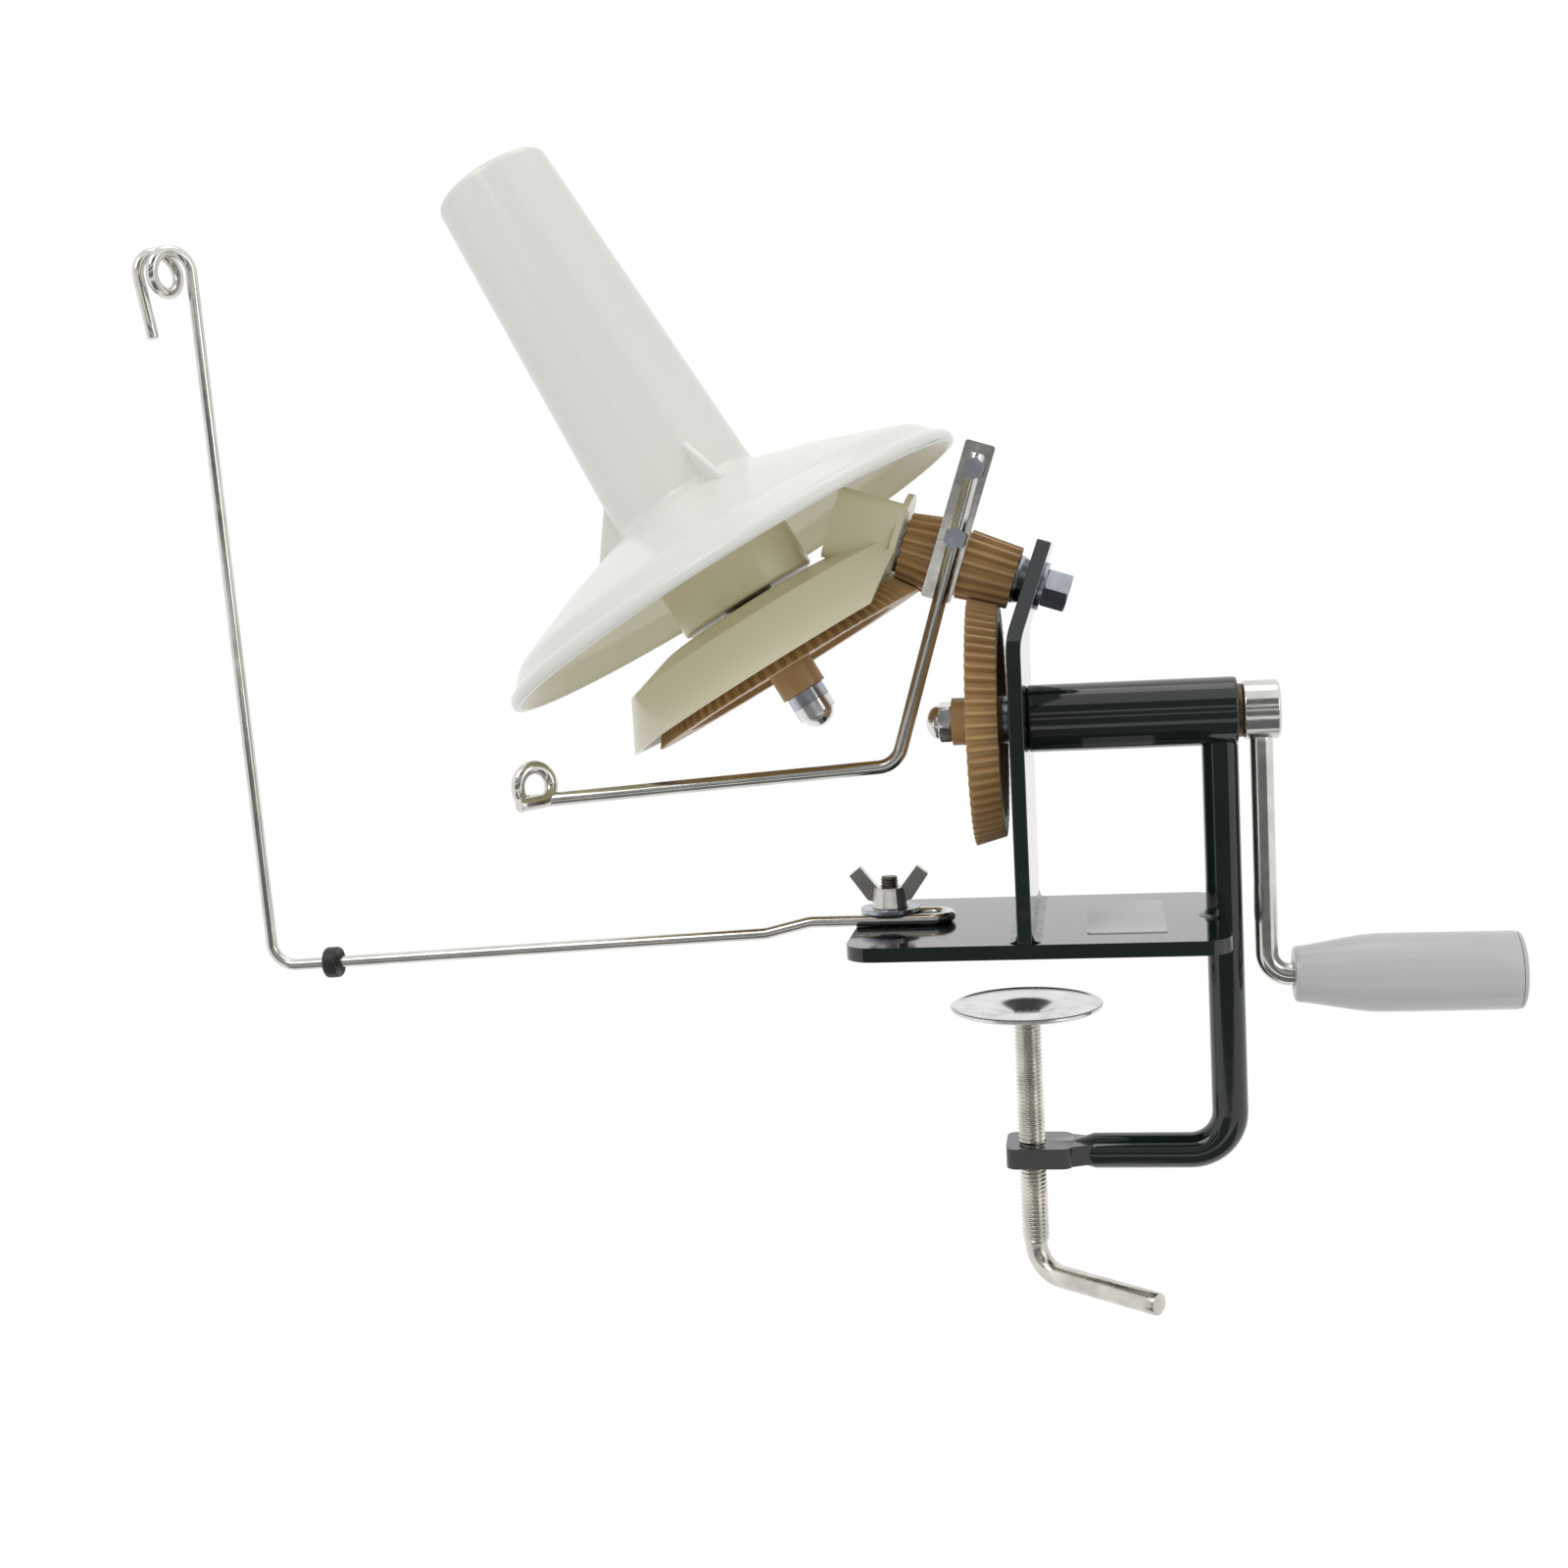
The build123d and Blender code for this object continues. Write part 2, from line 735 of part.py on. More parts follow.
cap_face = grip_end - grip_cap_depth
cap_spigot = 2.0
with BuildPart() as grip_cap:
    with BuildSketch(Plane.XZ):
        with BuildLine():
            cap_base = Polyline(
                (grip_end, grip_axis_z),
                (cap_face - cap_spigot, grip_axis_z),
                (cap_face - cap_spigot, grip_axis_z + grip_pocket_radius - seat_gap),
                (cap_face + seat_gap, grip_axis_z + grip_pocket_radius - seat_gap),
                (cap_face + seat_gap, grip_axis_z + grip_body_radius - 0.4),
                (cap_face + 0.8, grip_axis_z + grip_body_radius - 0.4),
            )
            Spline(
                cap_base @ 1,
                (cap_face + grip_cap_depth * 0.72, grip_axis_z + grip_body_radius * 0.72),
                (grip_end, grip_axis_z),
                tangents=((0.5, -1), (0, -1)),
            )
        make_face()
    revolve(axis=Axis(grip_centre, (1, 0, 0)))
grip_cap.part.label = "grip_cap"
save(grip_cap.part)

retainer_face = grip_end - grip_pocket_depth + side_play
save(ring("grip_retainer", x_plane(retainer_face + retainer_thickness, grip_axis_z),
          arm_radius + seat_gap, retainer_radius, retainer_thickness))

# ================================================================ pinion and its bolt
# one piece: toothed section for the crank gear, plain waist, toothed section for the plate gear
bar_middle = (pinion_bar_start + pinion_bar_end) / 2


def flyer_point(station, height, y):
    return pinion_point(station) + across(pinion_tilt) * height + Vector(0, y, 0)


def wire_station(height):
    """Where the leaning flyer wire passes this height over the pinion axis."""
    return bar_middle - flyer_wire_shift + height * tan(radians(flyer_lean))


with BuildPart() as pinion:
    toothed_body(
        pinion_plane, pinion_start, pinion_bar_start, crank_mesh_station, pinion_cone_right,
        pinion_crank_teeth, pinion_mesh_radius, 0,
    )
    toothed_body(
        pinion_plane, pinion_bar_end, pinion_end, plate_mesh_station, -pinion_cone_left,
        pinion_plate_teeth, tooth_module * pinion_plate_teeth / 2, 0,
    )
    with BuildSketch(pinion_plane(pinion_bar_start)):
        Circle(pinion_waist_radius)
    extrude(amount=pinion_bar_end - pinion_bar_start)
    with BuildSketch(pinion_plane(pinion_bar_start)):
        with Locations((0, -bar_seat - bar_width)):
            Rectangle(4 * pinion_waist_radius, 2 * bar_width)
    extrude(amount=pinion_bar_end - pinion_bar_start, mode=Mode.SUBTRACT)
    with BuildSketch(pinion_plane(pinion_start)):
        Circle(sleeve_radius + running_clearance)
    extrude(amount=pinion_end - pinion_start, mode=Mode.SUBTRACT)
    screw_seat = flyer_point(wire_station(flyer_screw_low), flyer_screw_low, -bar_seat)
    with BuildSketch(Plane(origin=screw_seat, x_dir=across(pinion_tilt), z_dir=(0, 1, 0))):
        Circle(flyer_screw_radius + seat_gap)
    extrude(amount=flyer_screw_depth + side_play, mode=Mode.SUBTRACT)
pinion.part.label = "pinion"
save(pinion.part)

save(ring("pinion_sleeve", pinion_plane(0), bolt_radius + seat_gap, sleeve_radius, carrier_start))
with BuildPart() as pinion_bolt:
    bolt_tip = -plate_thickness - washer_thickness - lock_nut_height + 0.6
    with BuildSketch(pinion_plane(bolt_tip)):
        Circle(bolt_radius)
    extrude(amount=carrier_start + carrier_disc_thickness - bolt_tip)
    chamfer(pinion_bolt.edges().group_by(Axis.X)[-1], 0.6)
    with BuildSketch(pinion_plane(carrier_start + carrier_disc_thickness)):
        RegularPolygon(nut_flats / 2, 6, major_radius=False)
    extrude(amount=bolt_head_height)
pinion_bolt.part.label = "pinion_bolt"
save(pinion_bolt.part)

# cup-shaped spring washer, open side towards the pinion
cup_height = pinion_start - side_play
with BuildPart() as spring_washer:
    with BuildSketch(section_plane(pinion_point(0), pinion_tilt)):
        with BuildLine():
            Polyline(
                (sleeve_radius + side_play, 0),
                (washer_radius - 1.2, 0),
                (washer_radius, cup_height - 0.5),
                (washer_radius, cup_height),
                (washer_radius - 1.2, cup_height),
                (washer_radius - 2.0, 1.3),
                (sleeve_radius + side_play, 1.3),
                close=True,
            )
        make_face()
    revolve(axis=Axis(pinion_point(0), tilted(pinion_tilt)))
spring_washer.part.label = "spring_washer"
save(spring_washer.part)

thrust_play = carrier_start - pinion_end - side_play
save(ring("thrust_washer", pinion_plane(carrier_start - thrust_play),
          sleeve_radius + seat_gap, 9.5, thrust_play))
save(ring("pinion_washer", pinion_plane(-plate_thickness - washer_thickness),
          bolt_radius + seat_gap, washer_radius, washer_thickness))
save(hexagon_nut("pinion_lock_nut", pinion_plane(-plate_thickness - washer_thickness - lock_nut_height),
                 nut_flats, lock_nut_height, bolt_radius + seat_gap, 1.2))

# ================================================================ flyer
wire_plane_y = -bar_seat - bar_thickness - flyer_wire_radius


# flat bar, held by two hexagon-head screws; the lower one holds it to the pinion
with BuildPart() as flyer_bar:
    bar_face = Plane(origin=flyer_point(bar_middle, 0, -bar_seat), x_dir=across(pinion_tilt), z_dir=(0, -1, 0))
    with BuildSketch(bar_face):
        with Locations(((bar_above - bar_below) / 2, 0)):
            RectangleRounded(bar_above + bar_below, bar_width, 1.0)
    extrude(amount=bar_thickness)
    for height in (flyer_screw_low, flyer_screw_high):
        hole = flyer_point(wire_station(height), height, -bar_seat)
        with BuildSketch(Plane(origin=hole, x_dir=across(pinion_tilt), z_dir=(0, -1, 0))):
            Circle(flyer_screw_radius + seat_gap)
        extrude(amount=bar_thickness, mode=Mode.SUBTRACT)
flyer_bar.part.label = "flyer_bar"
save(flyer_bar.part)

# round wire: down from the bar, back under the cone, and once round into an open eye
toward = Vector(0, -1, 0)
run_way = tilted(pinion_tilt + -flyer_run_fall)
run_rise = across(pinion_tilt - flyer_run_fall)
wire_top = flyer_point(wire_station(flyer_wire_above), flyer_wire_above, wire_plane_y)
wire_corner = flyer_point(wire_station(-flyer_leg), -flyer_leg, wire_plane_y)
leg_down = (wire_corner - wire_top).normalized()
eye_start = wire_corner + run_way * flyer_run_length
eye_side = run_way * cos(radians(flyer_eye_yaw)) + toward * sin(radians(flyer_eye_yaw))
eye_axis = toward * cos(radians(flyer_eye_yaw)) - run_way * sin(radians(flyer_eye_yaw))
with BuildPart() as flyer_wire:
    with BuildLine() as flyer_line:
        FilletPolyline(wire_top, wire_corner, eye_start, radius=flyer_bend)
        here, way = coil_turns(
            eye_start, run_way, eye_start + run_rise * flyer_eye_radius, eye_side, run_rise, eye_axis,
            flyer_eye_radius, flyer_eye_pitch, -90, 4,
        )
        Line(here, here + way * flyer_tail)
    with BuildSketch(Plane(origin=wire_top, z_dir=leg_down)):
        Circle(flyer_wire_radius)
    sweep(path=flyer_line.line)
    for height in (flyer_screw_low, flyer_screw_high):
        screw_place = flyer_point(wire_station(height), height, 0)
        with BuildSketch(Plane(origin=screw_place, x_dir=across(pinion_tilt), z_dir=toward)):
            Circle(flyer_screw_radius + seat_gap)
        extrude(amount=2 * bar_seat + bar_thickness + 2 * flyer_wire_radius, mode=Mode.SUBTRACT)
flyer_wire.part.label = "flyer_wire"
save(flyer_wire.part)

# the two screws go through the wire and the bar; the lower one reaches into the pinion
stack = 2 * flyer_wire_radius + bar_thickness
with BuildPart() as flyer_screws:
    for height, depth in ((flyer_screw_low, stack + flyer_screw_depth), (flyer_screw_high, stack + 1.5)):
        head = Plane(
            origin=flyer_point(wire_station(height), height, -bar_seat - stack),
            x_dir=across(pinion_tilt), z_dir=(0, -1, 0),
        )
        with BuildSketch(head):
            RegularPolygon(flyer_head_flats / 2, 6, major_radius=False)
        extrude(amount=flyer_head_height)
        with BuildSketch(head.offset(-depth)):
            Circle(flyer_screw_radius)
        extrude(amount=depth)
flyer_screws.part.label = "flyer_screws"
save(flyer_screws.part)

# ================================================================ cone spindle
# closed tube that narrows upwards, wide flange with a rolled rim, boss, hub and three fins
def tube_at(height):
    return spindle_top_radius + (spindle_height - height) * tan(radians(spindle_taper))


flange_middle_radius = flange_radius * 0.6
flange_middle_height = flange_joint_height * 0.7
with BuildPart() as cone_spindle:
    with BuildSketch(section_plane(cone_point(0), cone_tilt)):
        with BuildLine():
            Polyline(
                (0, spindle_height),
                (spindle_top_radius - 2, spindle_height),
                (spindle_top_radius - 0.6, spindle_height - 0.6),
                (tube_at(spindle_height - 2), spindle_height - 2),
                (tube_at(flange_joint_height), flange_joint_height),
                (flange_middle_radius, flange_middle_height),
                (flange_radius - 9, rim_height * 0.5 + 8.5),
                (flange_radius - 3.2, rim_height),
                (flange_radius - 1.0, rim_height - 1.0),
                (flange_radius, rim_height - 2.4),
                (flange_radius, -0.6),
                (flange_radius - 0.8, -1.4),
                (flange_radius - 2.4, -1.4),
                (flange_radius - 3.4, 0),
                (flange_radius - 10.4, rim_height * 0.5 + 5.8),
                (flange_middle_radius - 1, flange_middle_height - flange_wall),
                (boss_radius, flange_joint_height - flange_wall * 0.9),
                (boss_radius, -boss_drop),
                (0, -boss_drop),
                (0, -boss_drop + flange_wall),
                (boss_radius - spindle_wall, -boss_drop + flange_wall),
                (boss_radius - spindle_wall, flange_joint_height),
                (spindle_top_radius - spindle_wall, spindle_height - spindle_wall),
                (0, spindle_height - spindle_wall),
                close=True,
            )
        make_face()
    revolve(axis=Axis(cone_point(0), tilted(cone_tilt)))
    for number in range(fin_count):
        with BuildSketch(section_plane(cone_point(0), cone_tilt, 180 + number * 360 / fin_count)):
            with BuildLine():
                Polyline(
                    (boss_radius - 1, fin_height),
                    (tube_at(fin_height) + 0.4, fin_height),
                    (fin_reach, flange_joint_height - 4),
                    (fin_reach, flange_joint_height - 8),
                    (boss_radius - 1, flange_joint_height - 2),
                    close=True,
                )
            make_face()
        extrude(amount=fin_thickness / 2, both=True)
    with BuildSketch(cone_plane(-boss_drop)):
        Circle(spindle_hub_radius)
    extrude(amount=axle_depth + 4)
    with BuildSketch(cone_plane(-boss_drop)):
        Circle(axle_radius + seat_gap)
    extrude(amount=axle_depth, mode=Mode.SUBTRACT)
cone_spindle.part.label = "cone_spindle"
save(cone_spindle.part)

# ================================================================ plate gear on the cone's axle
plate_gear_top = -plate_gear_drop + plate_gear_width / 2
plate_gear_bottom = -plate_gear_drop - plate_gear_width / 2
plate_hub_bottom = plate_gear_bottom - plate_hub_length
nut_bottom = plate_hub_bottom - nut_height
with BuildPart() as plate_gear:
    toothed_body(
        cone_plane, plate_gear_bottom, plate_gear_top, -plate_gear_drop, -plate_cone,
        plate_gear_teeth, plate_gear_radius, 0,
    )
    rim_inside = plate_gear_radius - plate_gear_width / 2 * tan(radians(plate_cone)) - 7
    for face, inward in ((plate_gear_top, -1), (plate_gear_bottom, 1)):
        with BuildSketch(cone_plane(face)):
            Circle(rim_inside)
            Circle(plate_hub_radius, mode=Mode.SUBTRACT)
        extrude(amount=inward * (plate_gear_width - plate_gear_web) / 2, mode=Mode.SUBTRACT)
    with BuildSketch(cone_plane(plate_gear_bottom)):
        Circle(plate_hub_radius)
    extrude(amount=-plate_hub_length)
    with BuildSketch(cone_plane(plate_hub_bottom)):
        Circle(axle_radius + seat_gap)
    extrude(amount=plate_hub_length + plate_gear_width, mode=Mode.SUBTRACT)
plate_gear.part.label = "plate_gear"
save(plate_gear.part)

axle_bottom = nut_bottom - dome_nut_height * 0.6
with BuildPart() as axle_stud:
    with BuildSketch(cone_plane(axle_bottom)):
        Circle(axle_radius)
    extrude(amount=axle_depth - side_play - boss_drop - axle_bottom)
axle_stud.part.label = "axle_stud"
save(axle_stud.part)

bushing_top = -boss_drop - side_play
axle_washer_thickness = plate_gear_top * -1 - carrier_hub_drop
carrier_bottom = plate_gear_top + washer_thickness + side_play
save(ring("axle_washer", cone_plane(plate_gear_top), axle_radius + seat_gap, 7.0, washer_thickness))
save(hexagon_nut("axle_jam_nut", cone_plane(nut_bottom), nut_flats, nut_height, axle_radius + seat_gap))
save(dome_nut("axle_dome_nut", axis_plane(cone_point(nut_bottom), cone_tilt + 180), nut_flats,
              dome_nut_height, axle_radius + seat_gap, dome_nut_height * 0.7))

# flanged bushing in the carrier's hub
with BuildPart() as axle_bushing:
    with BuildSketch(cone_plane(carrier_bottom)):
        Circle(axle_bushing_radius)
    extrude(amount=-carrier_top - carrier_bottom)
    with BuildSketch(cone_plane(-carrier_top)):
        Circle(axle_bushing_radius + 3)
    extrude(amount=bushing_top + carrier_top)
    with BuildSketch(cone_plane(carrier_bottom)):
        Circle(axle_radius + running_clearance)
    extrude(amount=bushing_top - carrier_bottom, mode=Mode.SUBTRACT)
axle_bushing.part.label = "axle_bushing"
save(axle_bushing.part)

# ================================================================ carrier
# half of a domed cover with an arm and a disc that the pinion bolt clamps
with BuildPart() as gear_carrier:
    with BuildSketch(section_plane(cone_point(0), cone_tilt)):
        with BuildLine():
            Polyline(
                (0, -carrier_top),
                (carrier_flat_radius, -carrier_top),
                (carrier_shoulder_radius, -carrier_shoulder_drop),
                (carrier_skirt_radius, -carrier_skirt_drop),
                (carrier_skirt_radius - carrier_wall, -carrier_skirt_drop),
                (carrier_shoulder_radius - carrier_wall * 0.7, -carrier_shoulder_drop - carrier_wall * 0.8),
                (carrier_flat_radius, -carrier_top - carrier_wall),
                (0, -carrier_top - carrier_wall),
                close=True,
            )
        make_face()
    revolve(axis=Axis(cone_point(0), tilted(cone_tilt)))
    with BuildSketch(pinion_plane(carrier_start)):
        Rectangle(6 * carrier_skirt_radius, 6 * carrier_skirt_radius)
    extrude(amount=-4 * carrier_skirt_radius, mode=Mode.SUBTRACT)
    with BuildSketch(pinion_plane(carrier_start)):
        Circle(carrier_disc_radius)
    extrude(amount=carrier_disc_thickness)
    with BuildSketch(pinion_plane(carrier_start + 0.6)):
        with Locations(((carrier_arm_above - carrier_arm_below) / 2, 0)):
            RectangleRounded(carrier_arm_above + carrier_arm_below, carrier_arm_width, 4.0)
    extrude(amount=carrier_arm_length + carrier_disc_thickness - 0.6)
    with BuildSketch(pinion_plane(carrier_start + carrier_disc_thickness)):
        with Locations(((carrier_arm_above - carrier_arm_wall - 40) / 2, 0)):
            Rectangle(
                carrier_arm_above - carrier_arm_wall + 40,
                carrier_arm_width - 2 * carrier_arm_wall,
            )
    extrude(amount=carrier_arm_length - carrier_end_wall, mode=Mode.SUBTRACT)
    with BuildSketch(cone_plane(plate_gear_bottom - 5)):
        Circle(plate_gear_radius + 5.2)
    extrude(amount=plate_gear_width + 7.2, mode=Mode.SUBTRACT)
    with BuildSketch(cone_plane(carrier_bottom)):
        Circle(carrier_hub_radius)
    extrude(amount=-carrier_top - carrier_bottom)
    with BuildSketch(cone_plane(carrier_bottom)):
        Circle(axle_bushing_radius)
    extrude(amount=-carrier_top - carrier_bottom, mode=Mode.SUBTRACT)
    with BuildSketch(pinion_plane(carrier_start)):
        Circle(bolt_radius + seat_gap)
    extrude(amount=carrier_disc_thickness, mode=Mode.SUBTRACT)
gear_carrier.part.label = "gear_carrier"
save(gear_carrier.part)

# ================================================================ yarn guide
# one wire: open hairpin on the base, step down, long run, corner, upright leg and a pigtail
strand_z = plate_thickness + guide_wire_radius + seat_gap
hairpin_centre = hairpin_end - guide_half_gap
leg_way = (Vector(guide_top_x, 0, guide_top_z) - Vector(guide_corner_x, 0, guide_corner_z)).normalized()
pigtail_axis = Vector(-sin(radians(pigtail_yaw)), cos(radians(pigtail_yaw)), 0)
pigtail_side = Vector(cos(radians(pigtail_yaw)), sin(radians(pigtail_yaw)), 0)
leg_top = Vector(guide_top_x, -guide_half_gap, guide_top_z)
with BuildPart() as guide_wire:
    with BuildLine() as guide_line:
        Line((hairpin_far_end, guide_half_gap, strand_z), (hairpin_centre, guide_half_gap, strand_z))
        ThreePointArc(
            (hairpin_centre, guide_half_gap, strand_z),
            (hairpin_end, 0, strand_z),
            (hairpin_centre, -guide_half_gap, strand_z),
        )
        FilletPolyline(
            (hairpin_centre, -guide_half_gap, strand_z),
            (jog_start, -guide_half_gap, strand_z),
            (jog_end, -guide_half_gap, jog_low),
            (guide_corner_x, -guide_half_gap, guide_corner_z),
            leg_top,
            radius=(jog_bend, jog_bend, guide_bend),
        )
        here, way = coil_turns(
            leg_top, leg_way, leg_top - pigtail_side * pigtail_radius, pigtail_side, Vector(0, 0, 1), pigtail_axis,
            pigtail_radius, pigtail_pitch, 0, round(pigtail_turns * 4),
        )
        tail_way = Vector(sin(radians(pigtail_tail_lean)), 0, -cos(radians(pigtail_tail_lean)))
        tail_start = here + (way + tail_way) * (guide_wire_radius / 2)
        smooth_pair(here, way, tail_start, tail_way)
        Line(tail_start, tail_start + tail_way * pigtail_tail)
    with BuildSketch(Plane(origin=(hairpin_far_end, guide_half_gap, strand_z), z_dir=(1, 0, 0))):
        Circle(guide_wire_radius)
    sweep(path=guide_line.line)
guide_wire.part.label = "guide_wire"
save(guide_wire.part)

# rubber bead on the long run, with a hollow cone in its right end
run_slope = (guide_corner_z - jog_low) / (guide_corner_x - jog_end)
bead_angle = degrees(atan(run_slope))
bead_centre = Vector(bead_x, -guide_half_gap, jog_low + (bead_x - jog_end) * run_slope)
with BuildPart() as guide_bead:
    with BuildSketch(section_plane(bead_centre, -bead_angle)):
        with BuildLine():
            Polyline(
                (guide_wire_radius + seat_gap, -bead_length / 2 + 2.0),
                (bead_radius - 0.6, -bead_length / 2),
                (bead_radius, -bead_length / 2 + 0.8),
                (bead_radius, bead_length / 2 - 1.0),
                (bead_radius - 1.0, bead_length / 2),
                (guide_wire_radius + seat_gap, bead_length / 2),
                close=True,
            )
        make_face()
    revolve(axis=Axis(bead_centre, tilted(-bead_angle)))
guide_bead.part.label = "guide_bead"
save(guide_bead.part)

washer_bottom = plate_thickness + 2 * guide_wire_radius + 2 * seat_gap
save(ring("guide_washer", Plane(origin=(stud_x, 0, washer_bottom)), stud_radius + bolt_clearance,
          guide_washer_radius, guide_washer_thickness))

wing_bottom = washer_bottom + guide_washer_thickness + seat_gap
with BuildPart() as wing_nut:
    with BuildSketch(Plane(origin=(stud_x, 0, wing_bottom))):
        Circle(wing_body_radius)
    extrude(amount=wing_body_height, taper=8)
    for side in (-1, 1):
        with BuildSketch(Plane.XZ):
            with BuildLine():
                Polyline(
                    (stud_x + side * (stud_radius + 1.0), wing_bottom + 1.6),
                    (stud_x + side * (wing_body_radius + 1.4), wing_bottom + 2.9),
                    (stud_x + side * wing_span, wing_bottom + wing_height - 3.2),
                    (stud_x + side * (wing_span - 4.1), wing_bottom + wing_height),
                    (stud_x + side * (stud_radius + 1.0), wing_bottom + wing_body_height),
                    close=True,
                )
            make_face()
        extrude(amount=wing_thickness / 2, both=True)
    with BuildSketch(Plane(origin=(stud_x, 0, wing_bottom))):
        Circle(stud_radius + running_clearance)
    extrude(amount=wing_height + 2, mode=Mode.SUBTRACT)
wing_nut.part.label = "wing_nut"
save(wing_nut.part)

# ================================================================ clamp screw and pad
pad_floor = -pad_drop - pad_cup_depth
with BuildPart() as clamp_pad:
    with BuildSketch(Plane.XZ):
        with BuildLine():
            Polyline(
                (screw_tip_radius + seat_gap, pad_floor),
                (pad_neck_radius, pad_floor),
                (pad_neck_radius, pad_floor + pad_sheet),
                (pad_cup_radius, -pad_drop - pad_dish - pad_sheet),
                (pad_radius - 1.2, -pad_drop - pad_sheet - 0.6),
                (pad_radius, -pad_drop - pad_sheet),
                (pad_radius, -pad_drop - 0.4),
                (pad_radius - 0.4, -pad_drop),
                (pad_radius - 1.2, -pad_drop),
                (pad_radius - 1.8, -pad_drop - 0.6),
                (pad_cup_radius - pad_sheet / 2, -pad_drop - pad_dish),
                (pad_neck_radius - pad_sheet, pad_floor + 2 * pad_sheet),
                (pad_neck_radius - pad_sheet, pad_floor + pad_sheet),
                (screw_tip_radius + seat_gap, pad_floor + pad_sheet),
                close=True,
            )
        make_face()
    revolve(axis=Axis.Z)
clamp_pad.part.label = "clamp_pad"
save(clamp_pad.part)

screw_shoulder = pad_floor - seat_gap
handle_way = Vector(cos(radians(screw_handle_yaw)), sin(radians(screw_handle_yaw)), 0)
with BuildPart() as clamp_screw:
    with BuildLine() as screw_line:
        FilletPolyline(
            (0, 0, screw_shoulder),
            (0, 0, -screw_handle_depth),
            Vector(0, 0, -screw_handle_depth) + handle_way * screw_handle_reach,
            radius=screw_bend,
        )
    with BuildSketch(Plane(origin=(0, 0, screw_shoulder), z_dir=(0, 0, -1))):
        Circle(screw_handle_radius)
    sweep(path=screw_line.line)
    with BuildSketch(Plane(origin=(0, 0, screw_shoulder), z_dir=(0, 0, -1))):
        Circle(screw_radius)
    extrude(amount=screw_handle_depth - screw_bend + screw_shoulder)
    with BuildSketch(Plane.XY.offset(screw_shoulder)):
        Circle(screw_tip_radius)
    extrude(amount=pad_sheet + 2 * seat_gap)
    with BuildSketch(Plane.XY.offset(pad_floor + pad_sheet + seat_gap)):
        Circle(screw_tip_head_radius)
    extrude(amount=screw_tip_head_height)
clamp_screw.part.label = "clamp_screw"
save(clamp_screw.part)
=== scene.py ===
"""Looks of the yarn cone winder: smooth wires, threads, moulded spindle, paint, nickel and nylon."""

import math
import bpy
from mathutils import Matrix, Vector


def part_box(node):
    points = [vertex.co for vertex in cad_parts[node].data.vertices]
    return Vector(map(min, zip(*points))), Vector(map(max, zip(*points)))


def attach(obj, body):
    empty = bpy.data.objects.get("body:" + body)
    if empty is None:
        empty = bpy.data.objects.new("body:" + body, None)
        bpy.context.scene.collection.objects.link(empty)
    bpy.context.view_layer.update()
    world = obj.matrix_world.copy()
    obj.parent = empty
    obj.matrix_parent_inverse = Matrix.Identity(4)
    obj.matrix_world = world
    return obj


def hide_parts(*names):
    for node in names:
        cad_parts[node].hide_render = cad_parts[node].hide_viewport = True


bl_info = {
    "name": "Yarn Cone Winder",
    "version": (1, 0, 0),
    "blender": (4, 5, 0),
    "location": "3D View > Sidebar > Winder",
    "description": "Builds the pieces and finishes of a hand-cranked yarn cone winder round its packed frame",
    "category": "Object",
}

import bmesh
import bpy
from bpy.props import FloatProperty, FloatVectorProperty, IntProperty, PointerProperty
from mathutils import Matrix, Vector

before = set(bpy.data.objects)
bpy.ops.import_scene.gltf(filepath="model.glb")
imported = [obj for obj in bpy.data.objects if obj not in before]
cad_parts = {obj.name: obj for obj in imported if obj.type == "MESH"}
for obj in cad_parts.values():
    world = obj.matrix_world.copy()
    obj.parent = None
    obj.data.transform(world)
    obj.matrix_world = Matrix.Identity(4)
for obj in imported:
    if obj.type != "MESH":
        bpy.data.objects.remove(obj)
MM = 0.001


# ---------------------------------------------------------------- places of the three axes, in millimetres
def tilted(angle):
    return Vector((-math.cos(math.radians(angle)), 0, math.sin(math.radians(angle))))


def across(angle):
    return Vector((math.sin(math.radians(angle)), 0, math.cos(math.radians(angle))))


PINION_ANGLE = 19.0
CONE_ANGLE = 61.0
PINION_START = Vector((5.9557, 0, 125.7251))
CONE_START = Vector((-98.8041, 0, 133.5268))
CRANK_HEIGHT = 77.3
FLYER_FALL = 22.5


def pinion_at(station):
    return PINION_START + tilted(PINION_ANGLE) * station


def cone_at(height):
    return CONE_START + tilted(CONE_ANGLE) * height


# ---------------------------------------------------------------- settings
SMALLEST_SIZE = 0.0001
LARGEST_SIZE = 1.0


def size(name, text, value):
    return FloatProperty(name=name, description=text, default=value, min=SMALLEST_SIZE, max=LARGEST_SIZE,
                         unit="LENGTH", precision=4)


def colour(name, text, value):
    return FloatVectorProperty(name=name, description=text, default=value, min=0, max=1, size=3,
                               subtype="COLOR")


class WINDER_PG_sizes(bpy.types.PropertyGroup):
    bevel: size("Edge rounding", "Rounding of the sheet-metal edges", 0.0006)
    fine_bevel: size("Fine edge rounding", "Rounding of nuts, washers and teeth", 0.00025)
    guide_wire: size("Guide wire radius", "Radius of the yarn guide's wire", 0.0021)
    flyer_wire: size("Flyer wire radius", "Radius of the flyer's wire", 0.0025)
    crank_rod: size("Crank rod radius", "Radius of the crank arm's rod", 0.0040)
    clamp_rod: size("Clamp rod radius", "Radius of the rod under the base", 0.00635)
    screw: size("Clamp screw radius", "Outer radius of the clamp screw", 0.0049)
    screw_handle: size("Screw handle radius", "Radius of the clamp screw's bent handle", 0.0040)
    thread_pitch: size("Thread pitch", "Pitch of the clamp screw's thread", 0.0015)
    flange: size("Flange radius", "Radius of the spindle's flange", 0.0925)
    segments: IntProperty(name="Round segments", description="Sides of a round piece", default=96, min=12,
                          max=256)


